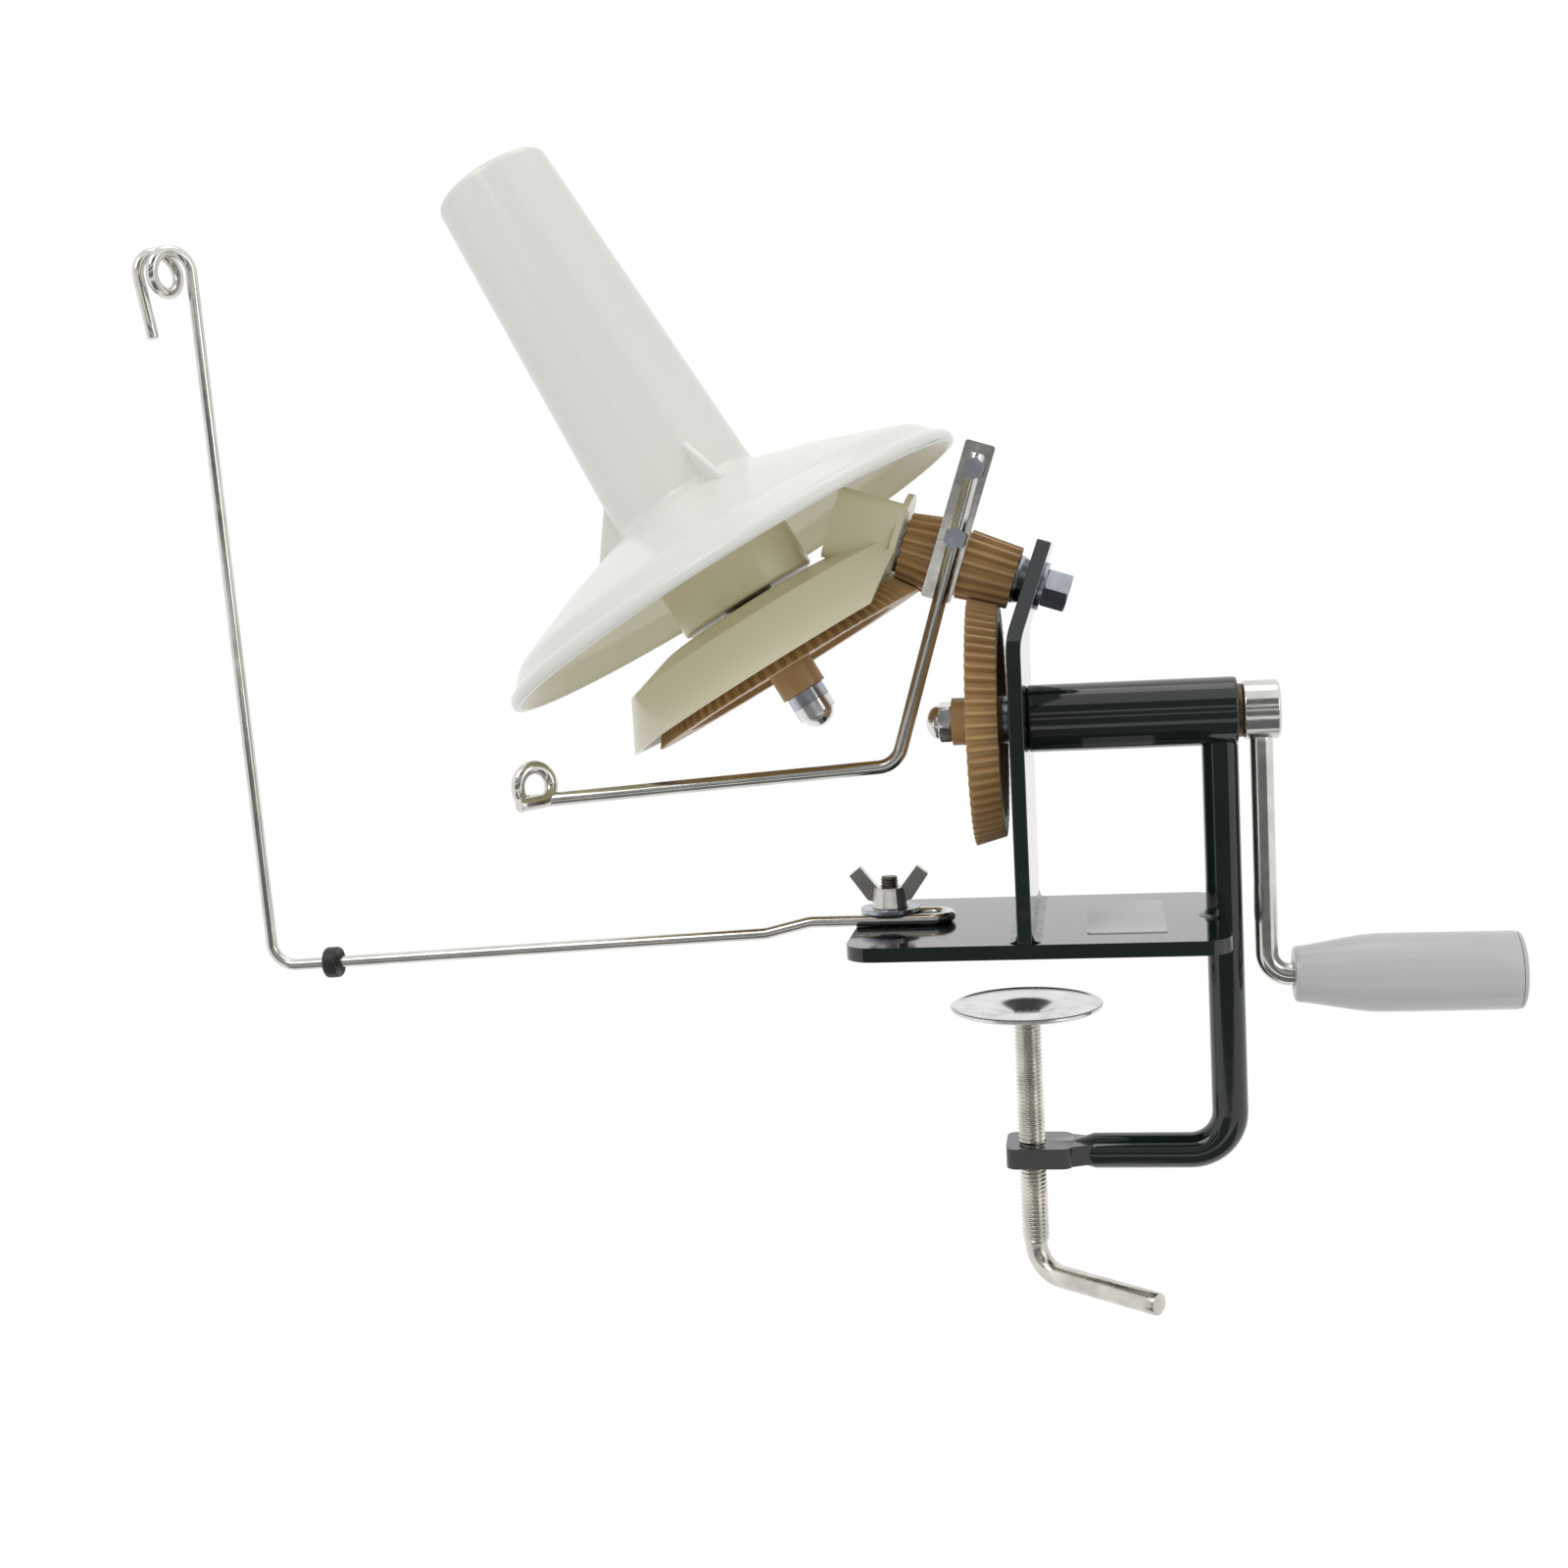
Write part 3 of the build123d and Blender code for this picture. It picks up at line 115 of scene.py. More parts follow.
class WINDER_PG_colours(bpy.types.PropertyGroup):
    paint: colour("Frame paint", "Dark green-black gloss paint", (0.007, 0.014, 0.014))
    spindle: colour("Spindle", "Warm white of the tube and flange", (0.76, 0.76, 0.72))
    # The cream is the carrier's own colour; on the spindle's flange underside and boss it is painted shade.
    carrier: colour("Carrier", "Cream of the carrier and flange underside", (0.72, 0.69, 0.53))
    nylon: colour("Gear nylon", "Tan-brown of the gears", (0.50, 0.31, 0.13))
    nickel: colour("Nickel", "Plated wires, arm and collar", (0.66, 0.65, 0.61))
    clamp_nickel: colour("Clamp screw", "Nickel of the clamp screw", (0.68, 0.66, 0.60))
    zinc: colour("Zinc", "Blue-grey zinc of nuts and washers", (0.44, 0.47, 0.52))
    grip: colour("Grip", "Light grey of the grip", (0.60, 0.60, 0.585))
    rubber: colour("Bead", "Black rubber", (0.012, 0.012, 0.012))
    bushing: colour("Bushing", "Oil-darkened bronze of the bushings", (0.13, 0.09, 0.05))
    label: colour("Label", "Blank pale label", (0.78, 0.79, 0.77))
    background: colour("Background", "Studio background", (1.0, 1.0, 1.0))


def sizes():
    return bpy.context.scene.winder_sizes


def colours():
    return bpy.context.scene.winder_colours


# ---------------------------------------------------------------- finishes
PAD_SILVER = (0.74, 0.74, 0.73)
DARK_STEEL = (0.16, 0.16, 0.15)
WORN_PAINT = (0.05, 0.055, 0.05)
BODY_IOR = 1.5
COAT_ROUGHNESS = 0.08
LEAST_ROUGHNESS = 0.02
TONE_BAND = (0.35, 0.65)
GLOSS_BAND = (0.3, 0.7)
WEAR_BAND = (0.80, 0.88)
GRAIN_SHARE = 0.35
GRAIN_FINENESS = 6
RELIEF_DEPTH = 0.0004


def noise(mat, place, scale, detail=2.0):
    """Noise over a piece's own coordinates."""
    node = mat.node_tree.nodes.new("ShaderNodeTexNoise")
    node.inputs["Scale"].default_value = scale
    node.inputs["Detail"].default_value = detail
    mat.node_tree.links.new(place, node.inputs["Vector"])
    return node.outputs["Fac"]


def spread(mat, value, band, low, high):
    """Spreads the part of a value that lies in the band over low to high."""
    node = mat.node_tree.nodes.new("ShaderNodeMapRange")
    node.inputs["From Min"].default_value = band[0]
    node.inputs["From Max"].default_value = band[1]
    node.inputs["To Min"].default_value = low
    node.inputs["To Max"].default_value = high
    mat.node_tree.links.new(value, node.inputs["Value"])
    return node.outputs["Result"]


def worn_edges(mat, place, base, tone_scale, wear, wear_rgb):
    """Lets a colour fade to the worn one along sharp edges, broken up by grain."""
    nodes = mat.node_tree.nodes
    links = mat.node_tree.links
    edge = nodes.new("ShaderNodeNewGeometry")
    add = nodes.new("ShaderNodeMath")
    add.operation = "MULTIPLY_ADD"
    add.inputs[1].default_value = GRAIN_SHARE
    links.new(noise(mat, place, tone_scale * GRAIN_FINENESS), add.inputs[0])
    links.new(edge.outputs["Pointiness"], add.inputs[2])
    mix = nodes.new("ShaderNodeMix")
    mix.data_type = "RGBA"
    mix.inputs[7].default_value = (*wear_rgb, 1)
    links.new(spread(mat, add.outputs["Value"], WEAR_BAND, 0.0, wear), mix.inputs[0])
    links.new(base, mix.inputs[6])
    return mix.outputs[2]


def finish(name, rgb, rough, tone, tone_scale, rough_spread, bump, bump_scale, metal=0.0, rough_scale=180.0,
           coat=0.0, wear=0.0, wear_rgb=None):
    """A procedural finish: tone, gloss and a fine relief vary over the surface; edges wear where asked."""
    if name in bpy.data.materials:
        return bpy.data.materials[name]
    mat = bpy.data.materials.new(name)
    mat.use_nodes = True
    nodes = mat.node_tree.nodes
    links = mat.node_tree.links
    shader = nodes["Principled BSDF"]
    shader.inputs["Metallic"].default_value = metal
    shader.inputs["IOR"].default_value = BODY_IOR
    shader.inputs["Coat Weight"].default_value = coat
    shader.inputs["Coat Roughness"].default_value = COAT_ROUGHNESS
    place = nodes.new("ShaderNodeTexCoord").outputs["Object"]

    ramp = nodes.new("ShaderNodeValToRGB")
    low = tuple(c * (1 - tone) for c in rgb)
    high = tuple(min(1.0, c * (1 + tone * 0.5)) for c in rgb)
    for stop, position, shade in zip(ramp.color_ramp.elements, TONE_BAND, (low, high)):
        stop.position = position
        stop.color = (*shade, 1)
    links.new(noise(mat, place, tone_scale, 5), ramp.inputs["Fac"])
    base = ramp.outputs["Color"]
    if wear:
        base = worn_edges(mat, place, base, tone_scale, wear, wear_rgb)
    links.new(base, shader.inputs["Base Color"])

    smoothest = max(LEAST_ROUGHNESS, rough - rough_spread)
    gloss = spread(mat, noise(mat, place, rough_scale, 4), GLOSS_BAND, smoothest, rough + rough_spread)
    links.new(gloss, shader.inputs["Roughness"])

    relief = nodes.new("ShaderNodeBump")
    relief.inputs["Strength"].default_value = bump
    relief.inputs["Distance"].default_value = RELIEF_DEPTH
    links.new(noise(mat, place, bump_scale, 3), relief.inputs["Height"])
    links.new(relief.outputs["Normal"], shader.inputs["Normal"])
    return mat


def gloss_paint():
    return finish("frame_paint", tuple(colours().paint), rough=0.09, tone=0.25, tone_scale=35,
                  rough_spread=0.04, bump=0.06, bump_scale=260, coat=0.35, wear=0.25, wear_rgb=WORN_PAINT)


def weld_paint():
    return finish("weld_paint", tuple(colours().paint), rough=0.24, tone=0.3, tone_scale=140,
                  rough_spread=0.1, bump=0.25, bump_scale=500, coat=0.2)


def white_plastic():
    return finish("white_plastic", tuple(colours().spindle), rough=0.30, tone=0.03, tone_scale=14,
                  rough_spread=0.07, rough_scale=60, bump=0.04, bump_scale=500)


# The carrier's own cream; on the spindle's underside and boss this finish is painted shade.
def cream_plastic():
    return finish("cream_plastic", tuple(colours().carrier), rough=0.34, tone=0.07, tone_scale=25,
                  rough_spread=0.08, rough_scale=90, bump=0.06, bump_scale=500)


def gear_nylon():
    return finish("gear_nylon", tuple(colours().nylon), rough=0.36, tone=0.16, tone_scale=50,
                  rough_spread=0.10, rough_scale=160, bump=0.08, bump_scale=700)


def nickel_plate():
    return finish("nickel_plate", tuple(colours().nickel), rough=0.16, metal=1.0, tone=0.12, tone_scale=80,
                  rough_spread=0.06, rough_scale=140, bump=0.05, bump_scale=400)


def clamp_nickel():
    return finish("clamp_nickel", tuple(colours().clamp_nickel), rough=0.24, metal=1.0, tone=0.2,
                  tone_scale=90, rough_spread=0.1, rough_scale=200, bump=0.08, bump_scale=600)


def pad_silver():
    return finish("pad_silver", PAD_SILVER, rough=0.22, metal=1.0, tone=0.08, tone_scale=60,
                  rough_spread=0.08, rough_scale=160, bump=0.06, bump_scale=500)


def zinc_plate():
    return finish("zinc_plate", tuple(colours().zinc), rough=0.28, metal=1.0, tone=0.15, tone_scale=110,
                  rough_spread=0.08, rough_scale=240, bump=0.08, bump_scale=700)


def dark_steel():
    return finish("dark_steel", DARK_STEEL, rough=0.34, metal=1.0, tone=0.25, tone_scale=150,
                  rough_spread=0.1, rough_scale=300, bump=0.1, bump_scale=800)


def bushing_bronze():
    return finish("bushing_bronze", tuple(colours().bushing), rough=0.38, metal=1.0, tone=0.2, tone_scale=120,
                  rough_spread=0.1, bump=0.1, bump_scale=900)


def grip_plastic():
    return finish("grip_plastic", tuple(colours().grip), rough=0.22, tone=0.03, tone_scale=30,
                  rough_spread=0.05, rough_scale=80, bump=0.03, bump_scale=500)


def bead_rubber():
    return finish("bead_rubber", tuple(colours().rubber), rough=0.42, tone=0.3, tone_scale=300,
                  rough_spread=0.12, bump=0.15, bump_scale=1500)


def label_film():
    return finish("label_film", tuple(colours().label), rough=0.46, tone=0.03, tone_scale=40,
                  rough_spread=0.04, rough_scale=60, bump=0.015, bump_scale=500)


# ---------------------------------------------------------------- mesh tools
WELD_DISTANCE = 1e-6
AXIS_RADIUS = 1e-5
SHARP_EDGE = 40


def piece(name, verts, faces, material, body, stands_for=(), crease=SHARP_EDGE, second=None, second_from=0):
    """Makes a mesh from points in millimetres, gives it its finish and lets it ride on a body."""
    mesh = bpy.data.meshes.new(name)
    mesh.from_pydata([Vector(v) * MM for v in verts], [], faces)
    if second:
        for face in mesh.polygons:
            face.material_index = int(face.index >= second_from)
    bm = bmesh.new()
    bm.from_mesh(mesh)
    bmesh.ops.remove_doubles(bm, verts=bm.verts, dist=WELD_DISTANCE)
    bmesh.ops.recalc_face_normals(bm, faces=bm.faces)
    bm.to_mesh(mesh)
    bm.free()
    obj = bpy.data.objects.new(name, mesh)
    bpy.context.scene.collection.objects.link(obj)
    mesh.shade_smooth()
    mesh.set_sharp_from_angle(angle=math.radians(crease))
    mesh.materials.append(material)
    if second:
        mesh.materials.append(second)
    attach(obj, body)
    if stands_for:
        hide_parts(*stands_for)
    return obj


def ring(centre, side, other, radius, sides):
    """Points of a circle round centre, in the plane of the directions side and other."""
    turns = (2 * math.pi * k / sides for k in range(sides))
    return [centre + (side * math.cos(a) + other * math.sin(a)) * radius for a in turns]


def band_faces(rows, sides):
    """Faces between neighbouring rings of points."""
    faces = []
    for i in range(rows - 1):
        for k in range(sides):
            m = (k + 1) % sides
            faces.append((i * sides + k, i * sides + m, (i + 1) * sides + m, (i + 1) * sides + k))
    return faces


def end_faces(rows, sides):
    """The two faces that close the first and the last ring."""
    last = (rows - 1) * sides
    return [tuple(range(sides))[::-1], tuple(range(last, last + sides))]


def turned(name, profile, origin, axis, material, body, stands_for=(), segments=None, crease=SHARP_EDGE,
           second=None, second_row=0):
    """A lathe piece: profile holds (radius, height) pairs in millimetres along the axis."""
    segments = segments or sizes().segments
    axis = Vector(axis).normalized()
    side = axis.orthogonal().normalized()
    other = axis.cross(side)
    origin = Vector(origin)
    verts = []
    for r, h in profile:
        verts += ring(origin + axis * h, side, other, max(r, AXIS_RADIUS), segments)
    return piece(name, verts, band_faces(len(profile), segments), material, body, stands_for, crease=crease,
                 second=second, second_from=second_row * segments)


CUT_SHARE = 0.45
BEND_STEP = 6


def rounded(points, radius, steps=5):
    """Rounds the inner corners of a profile; a cut takes no more than CUT_SHARE of its shorter side."""
    out = [tuple(points[0])]
    for before, here, after in zip(points, points[1:], points[2:]):
        p, q, r = Vector(before), Vector(here), Vector(after)
        room = min((p - q).length, (r - q).length) * CUT_SHARE
        cut = min(radius, room)
        if cut < 1e-4:
            out.append(tuple(here))
            continue
        start = q + (p - q).normalized() * cut
        end = q + (r - q).normalized() * cut
        for k in range(steps + 1):
            t = k / steps
            point = start.lerp(q, t).lerp(q.lerp(end, t), t)
            out.append(tuple(point))
    out.append(tuple(points[-1]))
    return out


def bent_path(corners, radii):
    """Points along straight runs joined by round bends, in millimetres."""
    corners = [Vector(c) for c in corners]
    path = [corners[0]]
    for i in range(1, len(corners) - 1):
        p, q, r = corners[i - 1], corners[i], corners[i + 1]
        one = (p - q).normalized()
        two = (r - q).normalized()
        radius = radii[i - 1] if hasattr(radii, "__len__") else radii
        half = one.angle(two) / 2
        reach = radius / math.tan(half)
        centre = q + (one + two).normalized() * (radius / math.sin(half))
        start = q + one * reach
        end = q + two * reach
        turn = math.pi - 2 * half
        count = max(3, int(math.degrees(turn) / BEND_STEP))
        arm = start - centre
        axis = arm.cross(end - centre).normalized()
        path += [centre + Matrix.Rotation(turn * k / count, 3, axis) @ arm for k in range(count + 1)]
        path[-1] = end
    path.append(corners[-1])
    return path


def arc(start, way, end, count=8):
    """Points of the circular arc that leaves start along way and ends at end, without its first point."""
    chord = end - start
    way = way.normalized()
    lean = way.angle(chord)
    if lean < 1e-5:
        return [end]
    axis = way.cross(chord).normalized()
    radius = chord.length / (2 * math.sin(lean))
    centre = start + axis.cross(way) * radius
    arm = start - centre
    return [centre + Matrix.Rotation(2 * lean * k / count, 3, axis) @ arm for k in range(1, count + 1)]


def coil(start, way, centre, side, rise, axis, radius, pitch, first, quarters):
    """Points of a coil made of pairs of arcs, and its end direction."""
    climb = pitch / (2 * math.pi * radius)
    out = []
    here = start
    way = way.normalized()
    for number in range(1, quarters + 1):
        a = math.radians(first + 90 * number)
        there = centre + (side * math.cos(a) + rise * math.sin(a)) * radius + axis * (pitch * number / 4)
        there_way = rise * math.cos(a) - side * math.sin(a)
        if number < quarters:
            there_way = there_way + axis * climb
        there_way.normalize()
        span = there - here
        both = way + there_way
        share = 2 * (1 - way.dot(there_way))
        reach = (math.sqrt(span.dot(both) ** 2 + share * span.dot(span)) - span.dot(both)) / share
        joint = (here + way * reach + there - there_way * reach) * 0.5
        out += arc(here, way, joint)
        back = arc(there, there_way * -1, joint)
        out += back[-2::-1] + [there]
        here, way = there, there_way
    return out, way


def resampled(path, step):
    """Adds points on long straight runs so that the tube's faces stay short."""
    out = [path[0]]
    for p, q in zip(path, path[1:]):
        count = max(1, int((q - p).length / step))
        out += [p.lerp(q, k / count) for k in range(1, count + 1)]
    return out


def rod(name, path, radius, material, body, stands_for=(), sides=28, end_round=0.6):
    """A round rod along a path, with slightly rounded ends."""
    path = [Vector(p) for p in path]
    path = [p for i, p in enumerate(path) if i == 0 or (p - path[i - 1]).length > 1e-4]
    ways = []
    for i in range(len(path)):
        a = path[max(0, i - 1)]
        b = path[min(len(path) - 1, i + 1)]
        ways.append((b - a).normalized())
    # along the rod and inwards, both as shares of the rounding
    tip = ((0.0, 1.0), (0.3, 0.3), (1.0, 0.0))
    verts = []
    rows = 0
    side = ways[0].orthogonal().normalized()
    for i, point in enumerate(path):
        way = ways[i]
        if i:
            side = ways[i - 1].rotation_difference(way) @ side
        side = (side - way * side.dot(way)).normalized()
        rings = [(0.0, 0.0)]
        if i == 0:
            rings = tip
        elif i == len(path) - 1:
            rings = [(-along, inset) for along, inset in tip[::-1]]
        for along, inset in rings:
            centre = point + way * end_round * along
            verts += ring(centre, side, way.cross(side), radius - end_round * inset, sides)
        rows += len(rings)
    return piece(name, verts, band_faces(rows, sides) + end_faces(rows, sides), material, body, stands_for)


THREAD_ROWS = 8
THREAD_SHARP_EDGE = 75
CREST_SLOPE = 1.25
CREST_WIDTH = 0.12
THREAD_END_DEPTH = 0.9


def threaded(name, origin, axis, radius, pitch, length, depth, material, body, stands_for=(), sides=24,
             run_out=1.0):
    """A threaded rod: the surface winds in and out by depth, and fades to plain at both ends."""
    axis = Vector(axis).normalized()
    side = axis.orthogonal().normalized()
    other = axis.cross(side)
    origin = Vector(origin)
    count = max(4, int(length / pitch * THREAD_ROWS))
    verts = []
    for i in range(count + 1):
        h = length * i / count
        fade = min(1.0, h / run_out, (length - h) / run_out)
        for k in range(sides):
            t = (h / pitch - k / sides) % 1.0
            groove = 1 - abs(2 * t - 1)
            flank = min(1.0, max(0.0, CREST_SLOPE * groove - CREST_WIDTH))
            r = radius - depth * (1 - fade) * THREAD_END_DEPTH - depth * fade * flank
            a = 2 * math.pi * k / sides
            verts.append(origin + axis * h + (side * math.cos(a) + other * math.sin(a)) * r)
    faces = band_faces(count + 1, sides) + end_faces(count + 1, sides)
    return piece(name, verts, faces, material, body, stands_for, crease=THREAD_SHARP_EDGE)


NUT_SIDES = 72
NUT_SHARP_EDGE = 28
NUT_CORNER_CUT = 0.58
NUT_FACE_INSET = 0.15
NUT_CORNER_REACH = 0.2
NUT_BORE_DEPTH = 0.4
NUT_BORE_CUT = 0.5
DOME_INSET = 0.35
DOME_STEP = 0.15
DOME_ROWS = 10


def hex_nut(name, origin, axis, flats, height, bore, material, body, stands_for=(), turn=0.0, dome=0.0):
    """A hexagon nut with cut corners; with dome it is closed by a round cap that reaches that height."""
    axis = Vector(axis).normalized()
    side = Vector((0, 1, 0)) if abs(axis.y) < 0.5 else Vector((0, 0, 1))
    side = (side - axis * side.dot(axis)).normalized()
    other = axis.cross(side)
    origin = Vector(origin)
    corner = flats / 2 / math.cos(math.pi / 6)
    cut = (corner - flats / 2) * NUT_CORNER_CUT
    body_height = dome * 0.5 if dome else height

    def hexagon(a, h):
        """Radius of the six-sided body at an angle and a height."""
        flat = flats / 2 / math.cos((a + turn) % (math.pi / 3) - math.pi / 6)
        down = min(1.0, h / cut)
        up = min(1.0, (body_height - h) / cut)
        limit = flats / 2 - NUT_FACE_INSET + (corner - flats / 2 + NUT_CORNER_REACH) * min(down, up)
        return min(flat, limit)

    heights = [cut * k / 4 for k in range(5)] + [body_height - cut * k / 4 for k in range(4, -1, -1)]
    rows = [(h, None) for h in heights]
    if dome:
        ball = flats / 2 - DOME_INSET
        rise = dome - body_height
        rows.insert(0, (0.0, 0.01))
        for k in range(DOME_ROWS + 1):
            t = k / DOME_ROWS * math.pi / 2
            top = body_height + DOME_STEP + (rise - DOME_STEP) * math.sin(t)
            rows.append((top, max(0.01, ball * math.cos(t))))
    else:
        rows = [(NUT_BORE_DEPTH, bore), (0.0, bore + NUT_BORE_CUT)] + rows
        rows += [(height, bore + NUT_BORE_CUT), (height - NUT_BORE_DEPTH, bore)]
    verts = []
    for h, r in rows:
        for k in range(NUT_SIDES):
            a = 2 * math.pi * k / NUT_SIDES
            radius = hexagon(a, h) if r is None else r
            verts.append(origin + axis * h + (side * math.cos(a) + other * math.sin(a)) * radius)
    faces = band_faces(len(rows), NUT_SIDES)
    if not dome:
        last = (len(rows) - 1) * NUT_SIDES
        for k in range(NUT_SIDES):
            m = (k + 1) % NUT_SIDES
            faces.append((last + k, last + m, m, k))
    return piece(name, verts, faces, material, body, stands_for, crease=NUT_SHARP_EDGE)


FRAME_WELD_DISTANCE = 0.000004
FRAME_SHARP_EDGE = 28


def smooth_shading(angle):
    """Nodes that join a piece's doubled points and shade it smoothly, but for edges over this angle."""
    name = f"smooth_{angle}"
    if name in bpy.data.node_groups:
        return bpy.data.node_groups[name]
    group = bpy.data.node_groups.new(name, "GeometryNodeTree")
    group.interface.new_socket("Geometry", in_out="INPUT", socket_type="NodeSocketGeometry")
    group.interface.new_socket("Geometry", in_out="OUTPUT", socket_type="NodeSocketGeometry")
    nodes = group.nodes
    links = group.links
    start = nodes.new("NodeGroupInput")
    weld = nodes.new("GeometryNodeMergeByDistance")
    weld.inputs["Distance"].default_value = FRAME_WELD_DISTANCE
    faces = nodes.new("GeometryNodeSetShadeSmooth")
    bend = nodes.new("GeometryNodeInputMeshEdgeAngle")
    sharp = nodes.new("FunctionNodeCompare")
    sharp.data_type = "FLOAT"
    sharp.operation = "GREATER_THAN"
    sharp.inputs["B"].default_value = math.radians(angle)
    edges = nodes.new("GeometryNodeSetShadeSmooth")
    edges.domain = "EDGE"
    edges.inputs["Shade Smooth"].default_value = False
    end = nodes.new("NodeGroupOutput")
    links.new(start.outputs[0], weld.inputs["Geometry"])
    links.new(weld.outputs["Geometry"], faces.inputs["Geometry"])
    links.new(faces.outputs["Geometry"], edges.inputs["Geometry"])
    links.new(bend.outputs["Unsigned Angle"], sharp.inputs["A"])
    links.new(sharp.outputs["Result"], edges.inputs["Selection"])
    links.new(edges.outputs["Geometry"], end.inputs[0])
    return group


# roundings of edges, in metres
LABEL_EDGE = 0.00012
TOOTH_EDGE = 0.00018
THIN_EDGE = 0.0002
THICK_EDGE = 0.0003
CARRIER_EDGE = 0.0005
WING_EDGE = 0.0007


def dress(node, material, bevel=None, segments=2, angle=35):
    """Gives a frame piece its finish, smooth shading and rounded edges."""
    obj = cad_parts[node]
    obj.data.materials.clear()
    obj.data.materials.append(material)
    shade = obj.modifiers.new("shading", "NODES")
    shade.node_group = smooth_shading(FRAME_SHARP_EDGE)
    if bevel:
        edge = obj.modifiers.new("edges", "BEVEL")
        edge.width = bevel
        edge.segments = segments
        edge.limit_method = "ANGLE"
        edge.angle_limit = math.radians(angle)
        edge.harden_normals = True
        edge.use_clamp_overlap = True


# ---------------------------------------------------------------- frame
class WINDER_OT_frame(bpy.types.Operator):
    """Dark painted base, upright, bearing tube and clamp rod"""
    bl_idname = "winder.frame"
    bl_label = "Painted frame"

    def execute(self, context):
        paint = gloss_paint()
        for node in ("base_plate", "upright_bracket", "bearing_tube"):
            dress(node, paint, sizes().bevel, 3)
        dress("clamp_rod", paint, sizes().bevel, 2, 30)
        dress("crank_bushings", bushing_bronze(), sizes().fine_bevel)
        dress("label_plate", label_film(), LABEL_EDGE)
        dress("weld_beads", weld_paint(), THIN_EDGE)
        return {"FINISHED"}


class WINDER_OT_gears(bpy.types.Operator):
    """Crank gear, double pinion and plate gear in tan nylon"""
    bl_idname = "winder.gears"
    bl_label = "Gears"

    def execute(self, context):
        nylon = gear_nylon()
        for node in ("crank_gear", "pinion", "plate_gear"):
            dress(node, nylon, TOOTH_EDGE, 2, 30)
        return {"FINISHED"}


class WINDER_OT_carrier(bpy.types.Operator):
    """Cream carrier with its bushing"""
    bl_idname = "winder.carrier"
    bl_label = "Carrier"

    def execute(self, context):
        dress("gear_carrier", cream_plastic(), CARRIER_EDGE, 3, 30)
        dress("axle_bushing", bushing_bronze(), sizes().fine_bevel)
        return {"FINISHED"}


SPINDLE_HEIGHT = 166.5
SPINDLE_TOP_RADIUS = 21.7
SPINDLE_TAPER = 2.57
SPINDLE_SEGMENTS = 160
SPINDLE_SHARP_EDGE = 32
FLANGE_JOINT_HEIGHT = 31.5
BOSS_RADIUS = 26.4
BOSS_DROP = 11.0
FIN_COUNT = 3
FIN_HEIGHT = 46.0
FIN_REACH = 41.5
FIN_ROOT_RADIUS = 25.5
# across the fin's thickness: half width, and how far the rounded edge draws in
FIN_LAYERS = ((-1.3, 0.45), (-0.95, 0.12), (-0.6, 0.0), (0.6, 0.0), (0.95, 0.12), (1.3, 0.45))


def tube_radius(height):
    """Radius of the tapered tube at a height above the flange's rim."""
    return SPINDLE_TOP_RADIUS + (SPINDLE_HEIGHT - height) * math.tan(math.radians(SPINDLE_TAPER))


class WINDER_OT_spindle(bpy.types.Operator):
    """Tapered tube with its wide flange, boss and fins"""
    bl_idname = "winder.spindle"
    bl_label = "Cone spindle"

    def fin(self, number):
        turn = math.radians(180 + 360 / FIN_COUNT * number)
        out = across(CONE_ANGLE) * math.cos(turn) + Vector((0, math.sin(turn), 0))
        aside = out.cross(tilted(CONE_ANGLE))
        outline = [(FIN_ROOT_RADIUS, FIN_HEIGHT), (tube_radius(FIN_HEIGHT) + 0.4, FIN_HEIGHT),
                   (FIN_REACH, 27.6), (FIN_REACH, 24.0), (FIN_ROOT_RADIUS, 29.0)]
        outline = rounded(outline, 1.2, 4)
        verts = []
        for width, inset in FIN_LAYERS:
            for r, h in outline:
                shrink = inset if r > FIN_ROOT_RADIUS + 0.5 else 0.0
                verts.append(cone_at(h - shrink) + out * (r - shrink) + aside * width)
        rows = len(FIN_LAYERS)
        faces = band_faces(rows, len(outline)) + end_faces(rows, len(outline))
        piece(f"spindle_fin_{number + 1}", verts, faces, white_plastic(), "cone")

    def execute(self, context):
        rim = sizes().flange / MM
        upper = [(0.0, SPINDLE_HEIGHT), (19.4, SPINDLE_HEIGHT), (21.1, 165.9), (tube_radius(164.3), 164.3),
                 (tube_radius(100), 100.0), (tube_radius(FLANGE_JOINT_HEIGHT), FLANGE_JOINT_HEIGHT),
                 (rim * 0.6, 22.05), (rim - 9, 10.5), (rim - 3.4, 4.1), (rim - 1.2, 3.3), (rim, 1.4),
                 (rim, -0.6), (rim - 0.8, -1.4)]
        under = [(rim - 2.4, -1.4), (rim - 3.4, 0.2), (rim - 10.4, 7.8), (rim * 0.6 - 1, 19.0),
                 (BOSS_RADIUS, 28.8), (BOSS_RADIUS, 0.8 - BOSS_DROP), (BOSS_RADIUS - 0.8, -BOSS_DROP),
                 (9.0, -BOSS_DROP), (4.2, -BOSS_DROP)]
        top_rows = rounded(upper, 3.2, 6)
        rows = top_rows + rounded(under, 1.8, 5)
        # The underside rows, flange underside and boss, take the cream finish as painted shade under the
        # flange.
        turned("spindle_shell", rows, cone_at(0), tilted(CONE_ANGLE), white_plastic(), "cone",
               ["cone_spindle"], segments=SPINDLE_SEGMENTS, crease=SPINDLE_SHARP_EDGE, second=cream_plastic(),
               second_row=len(top_rows))
        for number in range(FIN_COUNT):
            self.fin(number)
        return {"FINISHED"}


